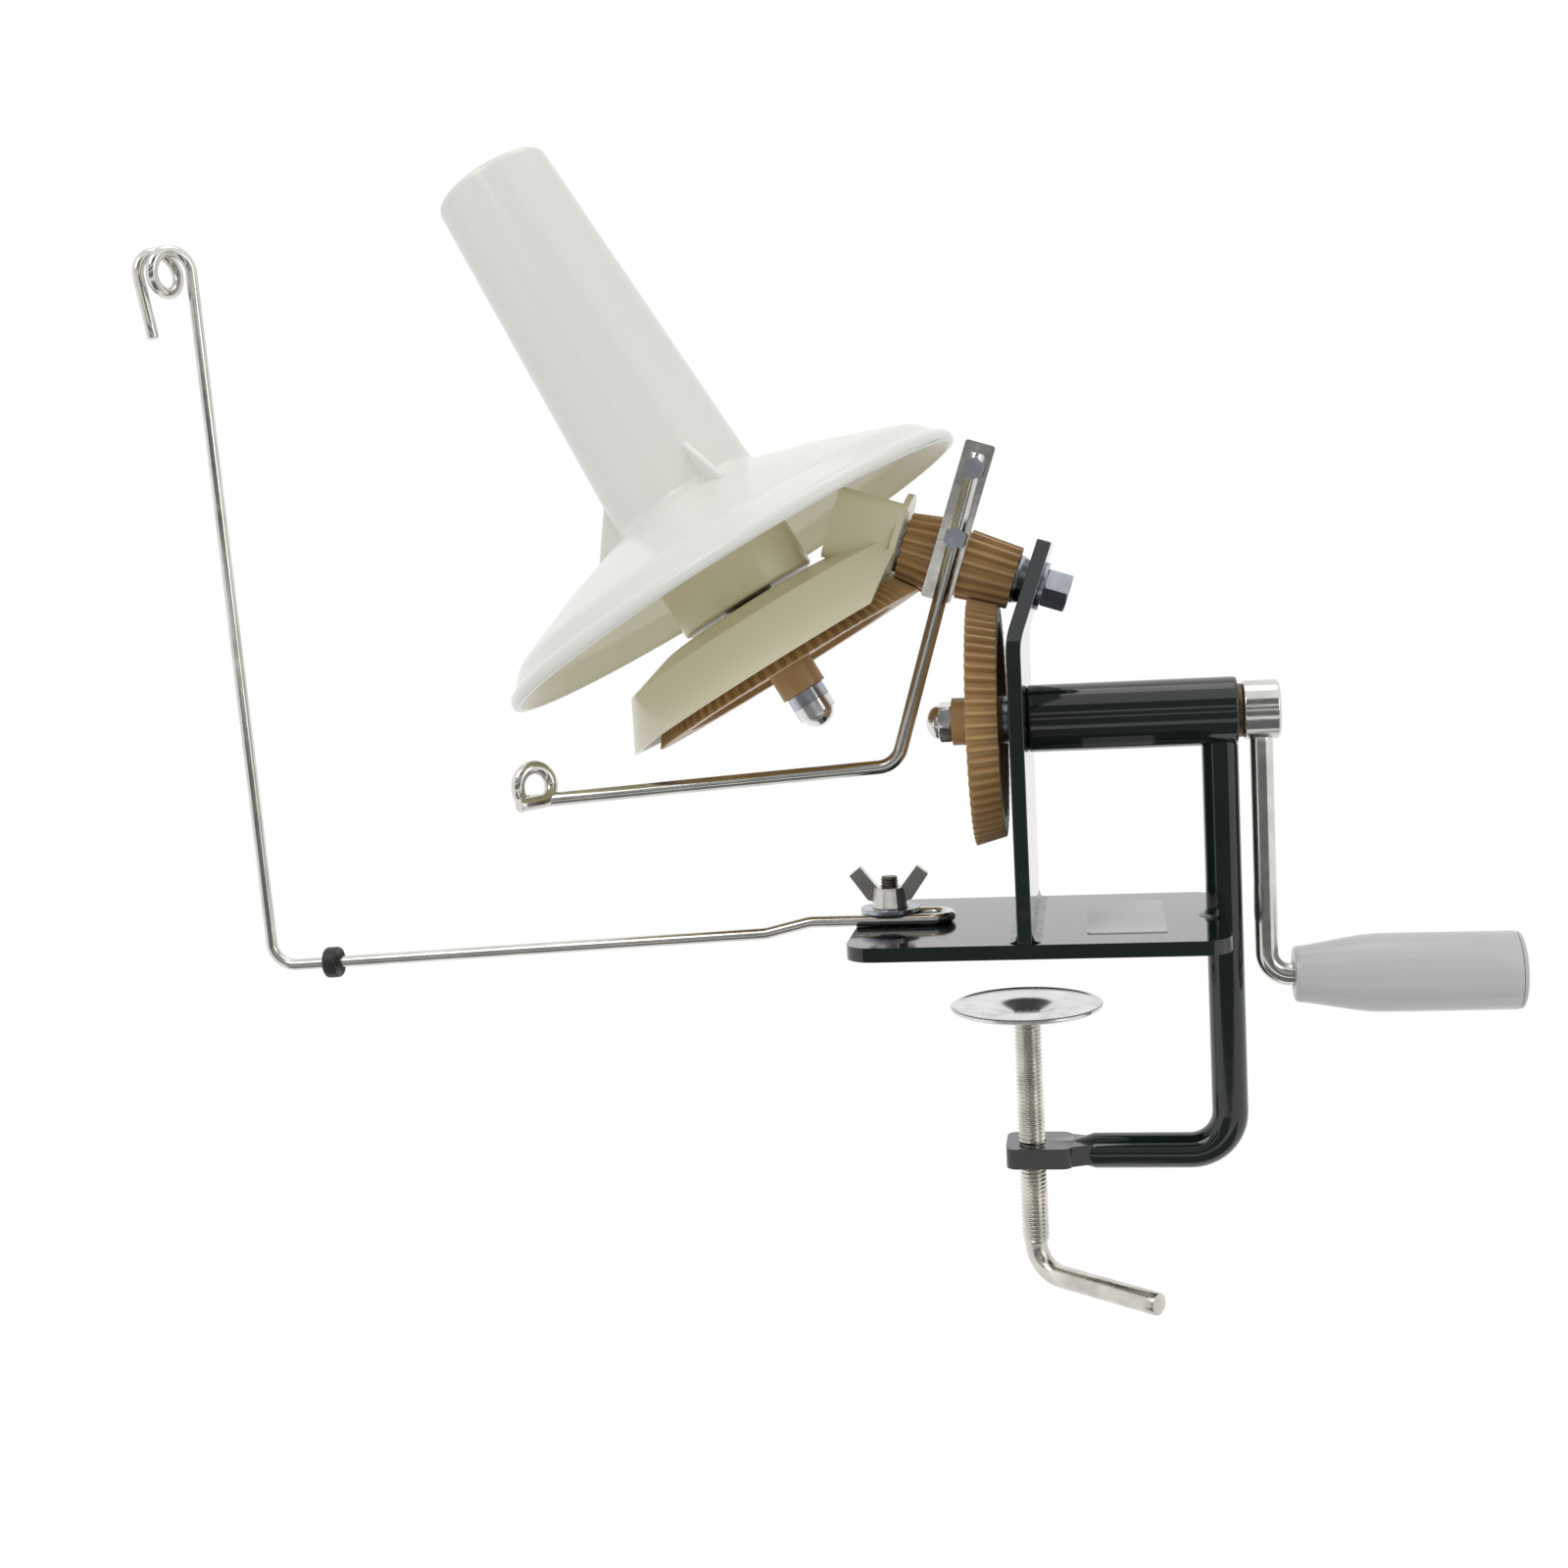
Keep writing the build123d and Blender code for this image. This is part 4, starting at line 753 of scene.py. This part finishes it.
CRANK_BEND = 8.0
CRANK_NUT_X = -22.2
NUT_FLATS = 13.0
DOME_NUT_HEIGHT = 9.4
GRIP_NECK_RADIUS = 9.9
GRIP_BODY_RADIUS = 13.8
GRIP_NECK_LENGTH = 1.4
GRIP_SWELL_LENGTH = 28.6
GRIP_SWELL_STEPS = 24
GRIP_CAP_DEPTH = 2.55
GRIP_CAP_LIP = 0.7
GRIP_CAP_STEPS = 14
GRIP_CAP_FULLNESS = 0.62


class WINDER_OT_crank(bpy.types.Operator):
    """Shaft, collar, bent arm and grip"""
    bl_idname = "winder.crank"
    bl_label = "Crank"

    def grip_profile(self, length):
        neck, body = GRIP_NECK_RADIUS, GRIP_BODY_RADIUS
        profile = [(4.6, 6.0), (4.6, 0.4), (5.4, 0.0), (neck - 1.4, 0.0), (neck - 0.4, 0.4),
                   (neck, GRIP_NECK_LENGTH)]
        for k in range(1, GRIP_SWELL_STEPS + 1):
            t = k / GRIP_SWELL_STEPS
            ease = t * t * (3 - 2 * t) * 0.55 + (1 - (1 - t) ** 1.7) * 0.45
            profile.append((neck + (body - neck) * ease, GRIP_NECK_LENGTH + GRIP_SWELL_LENGTH * t))
        profile += [(body, 40.0), (body - 0.05, 55.0), (body - 0.1, length - 0.8),
                    (body - 0.35, length - 0.2), (body - 0.9, length), (9.0, length)]
        return profile

    def cap_profile(self):
        edge = GRIP_BODY_RADIUS - 0.4
        profile = [(8.6, -1.8), (8.6, 0.05), (edge - 0.2, 0.05), (edge, 0.25), (edge, GRIP_CAP_LIP)]
        for k in range(1, GRIP_CAP_STEPS + 1):
            t = k / GRIP_CAP_STEPS * math.pi / 2
            r = edge * math.cos(t) ** GRIP_CAP_FULLNESS if k < GRIP_CAP_STEPS else 0.0
            profile.append((r, GRIP_CAP_LIP + (GRIP_CAP_DEPTH - GRIP_CAP_LIP) * math.sin(t)))
        return profile

    def execute(self, context):
        nickel = nickel_plate()
        dress("crank_shaft", zinc_plate(), sizes().fine_bevel)
        dress("crank_collar", nickel, THICK_EDGE, 3)
        dress("crank_gear_washer", zinc_plate(), THIN_EDGE)
        dress("grip_retainer", zinc_plate(), THIN_EDGE)
        radius = sizes().crank_rod / MM
        low, high = (Vector(v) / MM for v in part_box("crank_arm"))
        x = low.x + radius
        axis_z = low.z + radius
        path = bent_path([(x, 0, high.z), (x, 0, axis_z), (high.x, 0, axis_z)], CRANK_BEND)
        rod("crank_arm_rod", resampled(path, 6), radius, nickel, "crank", ["crank_arm"])
        grip_low, grip_high = (Vector(v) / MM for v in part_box("grip"))
        start = grip_low.x
        end = grip_high.x
        turned("grip_body", self.grip_profile(end - start), (start, 0, axis_z), (1, 0, 0), grip_plastic(),
               "grip_body", ["grip"])
        turned("grip_end_cap", self.cap_profile(), (end, 0, axis_z), (1, 0, 0), grip_plastic(), "grip_body",
               ["grip_cap"])
        hex_nut("crank_end_nut", (CRANK_NUT_X, 0, CRANK_HEIGHT), (-1, 0, 0), NUT_FLATS, DOME_NUT_HEIGHT, 4.0,
                pad_silver(), "crank", ["crank_dome_nut"], turn=0.2, dome=DOME_NUT_HEIGHT)
        return {"FINISHED"}


BAR_SEAT = 10.5
BAR_THICKNESS = 2.5
WIRE_STATION = 27.0
FLYER_WIRE_ABOVE = 38.0
FLYER_LEG = 73.8
FLYER_LEAN = 1.8
FLYER_RUN_LENGTH = 134.0
FLYER_BEND = 9.0
FLYER_EYE_RADIUS = 6.2
FLYER_EYE_PITCH = 5.8
FLYER_EYE_YAW = 52.0
FLYER_TAIL_STEP = 2.5
TAIL_STEPS = 4


class WINDER_OT_flyer(bpy.types.Operator):
    """Flat bar, bent wire with its eye and two screws"""
    bl_idname = "winder.flyer"
    bl_label = "Flyer"

    def execute(self, context):
        nickel = nickel_plate()
        dress("flyer_bar", nickel, THICK_EDGE, 2)
        dress("flyer_screws", zinc_plate(), THIN_EDGE, 2)
        radius = sizes().flyer_wire / MM
        front = Vector((0, -BAR_SEAT - BAR_THICKNESS - radius, 0))
        rise = across(PINION_ANGLE)
        lean = math.tan(math.radians(FLYER_LEAN))
        run = tilted(PINION_ANGLE - FLYER_FALL)
        up = across(PINION_ANGLE - FLYER_FALL)
        high, low = (pinion_at(WIRE_STATION + h * lean) + rise * h + front
                     for h in (FLYER_WIRE_ABOVE, -FLYER_LEG))
        eye = low + run * FLYER_RUN_LENGTH
        path = bent_path([high, low, eye], FLYER_BEND)
        yaw = math.radians(FLYER_EYE_YAW)
        toward = Vector((0, -1, 0))
        side = run * math.cos(yaw) + toward * math.sin(yaw)
        axis = toward * math.cos(yaw) - run * math.sin(yaw)
        turns, way = coil(eye, run, eye + up * FLYER_EYE_RADIUS, side, up, axis, FLYER_EYE_RADIUS,
                          FLYER_EYE_PITCH, -90, 4)
        path = resampled(path, 5) + turns
        path += [path[-1] + way * k * FLYER_TAIL_STEP for k in range(1, TAIL_STEPS + 1)]
        rod("flyer_wire_rod", path, radius, nickel, "flyer", ["flyer_wire"])
        return {"FINISHED"}


BOLT_RADIUS = 4.0
BOLT_PITCH = 1.25
BOLT_THREAD_LENGTH = 9.0
BOLT_THREAD_DEPTH = 0.6
BOLT_TIP = -14.9
BOLT_SHANK_START = -7.0
BOLT_HEAD = 48.4
BOLT_HEAD_HEIGHT = 5.3
LOCK_NUT_PLACE = -15.5
LOCK_NUT_HEIGHT = 9.0
STUD_X = -47.7
STUD_RADIUS = 3.2
STUD_TOP = 22.0
STUD_THREAD_START = 4.5
STUD_THREAD_DEPTH = 0.5
STUD_PITCH = 1.0
STUD_FOOT_TOP = 6.0
ROD_PLAY = 0.05


class WINDER_OT_fasteners(bpy.types.Operator):
    """Nuts, washers, bolts and studs"""
    bl_idname = "winder.fasteners"
    bl_label = "Fasteners"

    def execute(self, context):
        zinc = zinc_plate()
        for node in ("pinion_sleeve", "spring_washer", "pinion_washer", "thrust_washer", "axle_washer",
                     "guide_washer", "axle_stud"):
            dress(node, zinc, THIN_EDGE, 2)
        way = tilted(PINION_ANGLE)
        threaded("pinion_bolt_thread", pinion_at(BOLT_TIP), way, BOLT_RADIUS, BOLT_PITCH, BOLT_THREAD_LENGTH,
                 BOLT_THREAD_DEPTH, dark_steel(), "root", ["pinion_bolt"])
        rod("pinion_bolt_shank", [pinion_at(BOLT_SHANK_START), pinion_at(BOLT_HEAD)], BOLT_RADIUS - ROD_PLAY,
            zinc, "root", end_round=0.1)
        hex_nut("pinion_bolt_head", pinion_at(BOLT_HEAD), way, NUT_FLATS, BOLT_HEAD_HEIGHT, 0.6, zinc, "root")
        hex_nut("pinion_lock_nut_hex", pinion_at(LOCK_NUT_PLACE), way, NUT_FLATS, LOCK_NUT_HEIGHT, 4.02, zinc,
                "root", ["pinion_lock_nut"])
        dress("axle_jam_nut", zinc, THICK_EDGE, 2)
        dress("axle_dome_nut", pad_silver(), THICK_EDGE, 2)
        threaded("guide_stud_thread", (STUD_X, 0, STUD_THREAD_START), (0, 0, 1), STUD_RADIUS, STUD_PITCH,
                 STUD_TOP - STUD_THREAD_START, STUD_THREAD_DEPTH, dark_steel(), "root", ["guide_stud"],
                 sides=20, run_out=0.9)
        rod("guide_stud_foot", [(STUD_X, 0, 0.0), (STUD_X, 0, STUD_FOOT_TOP)], STUD_RADIUS - ROD_PLAY,
            dark_steel(), "root", end_round=0.1)
        dress("wing_nut", nickel_plate(), WING_EDGE, 3)
        return {"FINISHED"}


PLATE_THICKNESS = 5.0
SEAT_GAP = 0.05
GUIDE_HALF_GAP = 7.0
HAIRPIN_CENTRE = -33.1
HAIRPIN_FAR_END = -59.0
HAIRPIN_SHOULDER = -46.0
HAIRPIN_STEP = 9
JOG_START = -76.5
JOG_END = -93.0
JOG_LOW = 3.3
JOG_BEND = 14.0
GUIDE_BEND = 9.0
GUIDE_CORNER = (-283.7, -4.9)
GUIDE_TOP = (-293.1, 254.5)
PIGTAIL_YAW = 66.0
PIGTAIL_RADIUS = 7.4
PIGTAIL_PITCH = 7.6
PIGTAIL_QUARTERS = 6
PIGTAIL_TAIL_LEAN = 9.5
PIGTAIL_TAIL_STEP = 5.5
BEAD_X = -259.9
BEAD_PLAY = 0.06


class WINDER_OT_guide(bpy.types.Operator):
    """Yarn guide wire and its rubber bead"""
    bl_idname = "winder.guide"
    bl_label = "Yarn guide"

    def execute(self, context):
        radius = sizes().guide_wire / MM
        gap = GUIDE_HALF_GAP
        level = PLATE_THICKNESS + radius + SEAT_GAP
        angles = [math.radians(a) for a in range(0, 181, HAIRPIN_STEP)]
        turn = [Vector((HAIRPIN_CENTRE + gap * math.sin(a), gap * math.cos(a), level)) for a in angles]
        path = [Vector((HAIRPIN_FAR_END, gap, level)), Vector((HAIRPIN_SHOULDER, gap, level))] + turn
        corner = Vector((GUIDE_CORNER[0], -gap, GUIDE_CORNER[1]))
        top = Vector((GUIDE_TOP[0], -gap, GUIDE_TOP[1]))
        run = bent_path([turn[-1], (JOG_START, -gap, level), (JOG_END, -gap, JOG_LOW), corner, top],
                        (JOG_BEND, JOG_BEND, GUIDE_BEND))
        path += run[1:]
        yaw = math.radians(PIGTAIL_YAW)
        axis = Vector((-math.sin(yaw), math.cos(yaw), 0))
        side = Vector((math.cos(yaw), math.sin(yaw), 0))
        turns, way = coil(top, top - corner, top - side * PIGTAIL_RADIUS, side, Vector((0, 0, 1)), axis,
                          PIGTAIL_RADIUS, PIGTAIL_PITCH, 0, PIGTAIL_QUARTERS)
        path = resampled(path, 6) + turns
        lean = math.radians(PIGTAIL_TAIL_LEAN)
        down = Vector((math.sin(lean), 0, -math.cos(lean)))
        start = path[-1] + (way + down) * (radius / 2)
        path += [path[-1].lerp(path[-1] + way * (radius / 2), 0.7), start]
        path += [start + down * k * PIGTAIL_TAIL_STEP for k in range(1, TAIL_STEPS + 1)]
        rod("guide_wire_rod", path, radius, nickel_plate(), "guide_arm", ["guide_wire"], sides=24,
            end_round=0.5)
        slope = (corner.z - JOG_LOW) / (corner.x - JOG_END)
        centre = Vector((BEAD_X, -gap, JOG_LOW + (BEAD_X - JOG_END) * slope))
        hole = radius + BEAD_PLAY
        bead = [(hole, 0.75), (3.6, 1.9), (5.0, 2.7), (5.4, 2.75), (5.75, 2.2), (5.8, 1.5), (5.8, -1.5),
                (5.6, -2.3), (5.0, -2.7), (4.2, -2.75), (hole, -2.75)]
        turned("guide_bead_ring", rounded(bead, 0.5), centre, (1, 0, slope), bead_rubber(), "guide_arm",
               ["guide_bead"])
        return {"FINISHED"}


PAD_DROP = 25.8
PAD_CUP_DEPTH = 6.4
SCREW_THREAD_END = -115.0
SCREW_THREAD_DEPTH = 0.80
SCREW_HANDLE_DEPTH = 126.0
SCREW_HANDLE_REACH = 54.0
SCREW_HANDLE_YAW = -37.0
SCREW_BEND = 11.0
SCREW_TIP_RADIUS = 3.0


class WINDER_OT_clamp(bpy.types.Operator):
    """Clamp screw with its thread and bent handle, and the pressed pad"""
    bl_idname = "winder.clamp"
    bl_label = "Table clamp"

    def execute(self, context):
        dress("clamp_pad", pad_silver(), THICK_EDGE, 2)
        metal = clamp_nickel()
        radius = sizes().screw / MM
        top = -PAD_DROP - PAD_CUP_DEPTH - SEAT_GAP
        threaded("clamp_screw_thread", (0, 0, SCREW_THREAD_END), (0, 0, 1), radius, sizes().thread_pitch / MM,
                 top - SCREW_THREAD_END, SCREW_THREAD_DEPTH, metal, "screw", ["clamp_screw"], run_out=1.6)
        yaw = math.radians(SCREW_HANDLE_YAW)
        corner = Vector((0, 0, -SCREW_HANDLE_DEPTH))
        handle = corner + Vector((math.cos(yaw), math.sin(yaw), 0)) * SCREW_HANDLE_REACH
        path = bent_path([(0, 0, SCREW_THREAD_END + 1.5), corner, handle], SCREW_BEND)
        rod("clamp_screw_handle", resampled(path, 5), sizes().screw_handle / MM, metal, "screw",
            end_round=0.7)
        neck = SCREW_TIP_RADIUS
        tip = [(0.0, top - 1), (neck, top - 1), (neck, top + 1.4), (4.1, top + 1.4), (4.4, top + 1.7),
               (4.2, top + 2.3), (3.2, top + 2.75), (0.0, top + 2.8)]
        turned("clamp_screw_tip", tip, (0, 0, 0), (0, 0, 1), metal, "screw", segments=48)
        return {"FINISHED"}


# ---------------------------------------------------------------- stage
STAGE_CENTRE_X = -0.05
CARD_GREY = (0.24, 0.24, 0.24, 1)
CARD_ROUGHNESS = 0.9
FRONT_CARD_Y = -1.15
FRONT_CARD_WIDTH = 2.4
# lower and upper edge of each front card
FRONT_CARDS = ((-0.40, 0.075), (0.16, 0.42), (0.55, 1.30))
ROOM_STRENGTH = 0.60
# name, place, aim, width, height and watts
LAMPS = (
    ("key_lamp", (-0.55, -0.75, 0.85), (-0.08, 0, 0.12), 0.55, 0.55, 2.6),
    ("fill_lamp", (0.75, -0.55, 0.35), (0, 0, 0.08), 0.4, 0.6, 0.8),
    ("top_lamp", (-0.05, 0.15, 0.95), (-0.08, 0, 0.1), 0.7, 0.4, 1.0),
)
CAMERA_AZIMUTH = 9.4
CAMERA_ELEVATION = 6.39
CAMERA_ROLL = 3.12
CAMERA_AIM = (-0.0845, 0, 0.0571)
CAMERA_DISTANCE = 0.7
CAMERA_LENS = 44.1
CAMERA_SENSOR = 36.0
CAMERA_NEAR = 0.01


def lamp(name, place, aim, width, height, power):
    """A soft rectangular lamp that shines from place towards aim."""
    data = bpy.data.lights.new(name, "AREA")
    data.shape = "RECTANGLE"
    data.size = width
    data.size_y = height
    data.energy = power
    obj = bpy.data.objects.new(name, data)
    obj.location = place
    obj.rotation_euler = (Vector(aim) - Vector(place)).to_track_quat("-Z", "Y").to_euler()
    bpy.context.scene.collection.objects.link(obj)


def card(name, place, aim, width, height):
    """A dark studio card that only reflections show."""
    mesh = bpy.data.meshes.new(name)
    corners = [(x * width / 2, y * height / 2, 0) for x, y in ((-1, -1), (1, -1), (1, 1), (-1, 1))]
    mesh.from_pydata(corners, [], [(0, 1, 2, 3)])
    obj = bpy.data.objects.new(name, mesh)
    mat = bpy.data.materials.get("dark_card") or bpy.data.materials.new("dark_card")
    mat.use_nodes = True
    shader = mat.node_tree.nodes["Principled BSDF"]
    shader.inputs["Base Color"].default_value = CARD_GREY
    shader.inputs["Roughness"].default_value = CARD_ROUGHNESS
    mesh.materials.append(mat)
    obj.location = place
    obj.rotation_euler = (Vector(aim) - Vector(place)).to_track_quat("Z", "Y").to_euler()
    obj.visible_camera = False
    obj.visible_diffuse = False
    obj.visible_shadow = False
    obj.visible_transmission = False
    bpy.context.scene.collection.objects.link(obj)


class WINDER_OT_stage(bpy.types.Operator):
    """White background, soft lamps and the camera"""
    bl_idname = "winder.stage"
    bl_label = "Studio"

    def background(self, world):
        """White to the camera and in reflections, and a weaker even light on the piece."""
        world.use_nodes = True
        nodes = world.node_tree.nodes
        links = world.node_tree.links
        nodes.clear()
        out = nodes.new("ShaderNodeOutputWorld")
        seen = nodes.new("ShaderNodeBackground")
        seen.inputs["Color"].default_value = (*colours().background, 1)
        seen.inputs["Strength"].default_value = 1.0
        room = nodes.new("ShaderNodeBackground")
        room.inputs["Strength"].default_value = ROOM_STRENGTH
        room.inputs["Color"].default_value = (1, 1, 1, 1)
        path = nodes.new("ShaderNodeLightPath")
        shown = path.outputs["Is Camera Ray"]
        for ray in ("Is Glossy Ray", "Is Transmission Ray"):
            either = nodes.new("ShaderNodeMath")
            either.operation = "MAXIMUM"
            links.new(shown, either.inputs[0])
            links.new(path.outputs[ray], either.inputs[1])
            shown = either.outputs["Value"]
        mix = nodes.new("ShaderNodeMixShader")
        links.new(shown, mix.inputs["Fac"])
        links.new(room.outputs["Background"], mix.inputs[1])
        links.new(seen.outputs["Background"], mix.inputs[2])
        links.new(mix.outputs["Shader"], out.inputs["Surface"])

    def camera(self, scene):
        azimuth = math.radians(CAMERA_AZIMUTH)
        elevation = math.radians(CAMERA_ELEVATION)
        roll = math.radians(CAMERA_ROLL)
        forward = Vector((-math.sin(azimuth) * math.cos(elevation), math.cos(azimuth) * math.cos(elevation),
                          -math.sin(elevation)))
        right = Vector((math.cos(azimuth), math.sin(azimuth), 0))
        up = right.cross(forward)
        cam_right = right * math.cos(roll) - up * math.sin(roll)
        cam_up = right * math.sin(roll) + up * math.cos(roll)
        camera = bpy.data.cameras.new("camera")
        camera.lens = CAMERA_LENS
        camera.sensor_width = CAMERA_SENSOR
        camera.clip_start = CAMERA_NEAR
        camera.dof.use_dof = False
        holder = bpy.data.objects.new("camera", camera)
        turn = Matrix((cam_right, cam_up, -forward)).transposed().to_4x4()
        holder.matrix_world = Matrix.Translation(Vector(CAMERA_AIM) - forward * CAMERA_DISTANCE) @ turn
        scene.collection.objects.link(holder)
        scene.camera = holder

    def execute(self, context):
        scene = context.scene
        scene.world = bpy.data.worlds.new("studio")
        self.background(scene.world)
        for number, (low, high) in enumerate(FRONT_CARDS):
            height = (low + high) / 2
            card(f"front_card_{number + 1}", (STAGE_CENTRE_X, FRONT_CARD_Y, height),
                 (STAGE_CENTRE_X, 0, height), FRONT_CARD_WIDTH, high - low)
        card("low_card", (0.0, -0.55, -0.75), (STAGE_CENTRE_X, 0, 0.0), 1.8, 0.8)
        for settings in LAMPS:
            lamp(*settings)
        self.camera(scene)
        scene.view_settings.view_transform = "Standard"
        return {"FINISHED"}


class WINDER_PT_panel(bpy.types.Panel):
    """Sizes, colours and building steps of the winder"""
    bl_label = "Yarn cone winder"
    bl_idname = "WINDER_PT_panel"
    bl_space_type = "VIEW_3D"
    bl_region_type = "UI"
    bl_category = "Winder"

    def draw(self, context):
        layout = self.layout
        for group in (context.scene.winder_sizes, context.scene.winder_colours):
            box = layout.box()
            for name in group.__annotations__:
                box.prop(group, name)
        for step in STEPS:
            layout.operator(step.bl_idname)


STEPS = (
    WINDER_OT_frame,
    WINDER_OT_gears,
    WINDER_OT_carrier,
    WINDER_OT_spindle,
    WINDER_OT_crank,
    WINDER_OT_flyer,
    WINDER_OT_fasteners,
    WINDER_OT_guide,
    WINDER_OT_clamp,
    WINDER_OT_stage,
)
CLASSES = (WINDER_PG_sizes, WINDER_PG_colours, *STEPS, WINDER_PT_panel)


def register():
    for cls in CLASSES:
        bpy.utils.register_class(cls)
    bpy.types.Scene.winder_sizes = PointerProperty(type=WINDER_PG_sizes)
    bpy.types.Scene.winder_colours = PointerProperty(type=WINDER_PG_colours)


def unregister():
    del bpy.types.Scene.winder_colours
    del bpy.types.Scene.winder_sizes
    for cls in reversed(CLASSES):
        bpy.utils.unregister_class(cls)


def main():
    register()
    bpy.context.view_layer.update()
    for step in STEPS:
        group, name = step.bl_idname.split(".")
        getattr(getattr(bpy.ops, group), name)()


if __name__ == "__main__":
    main()
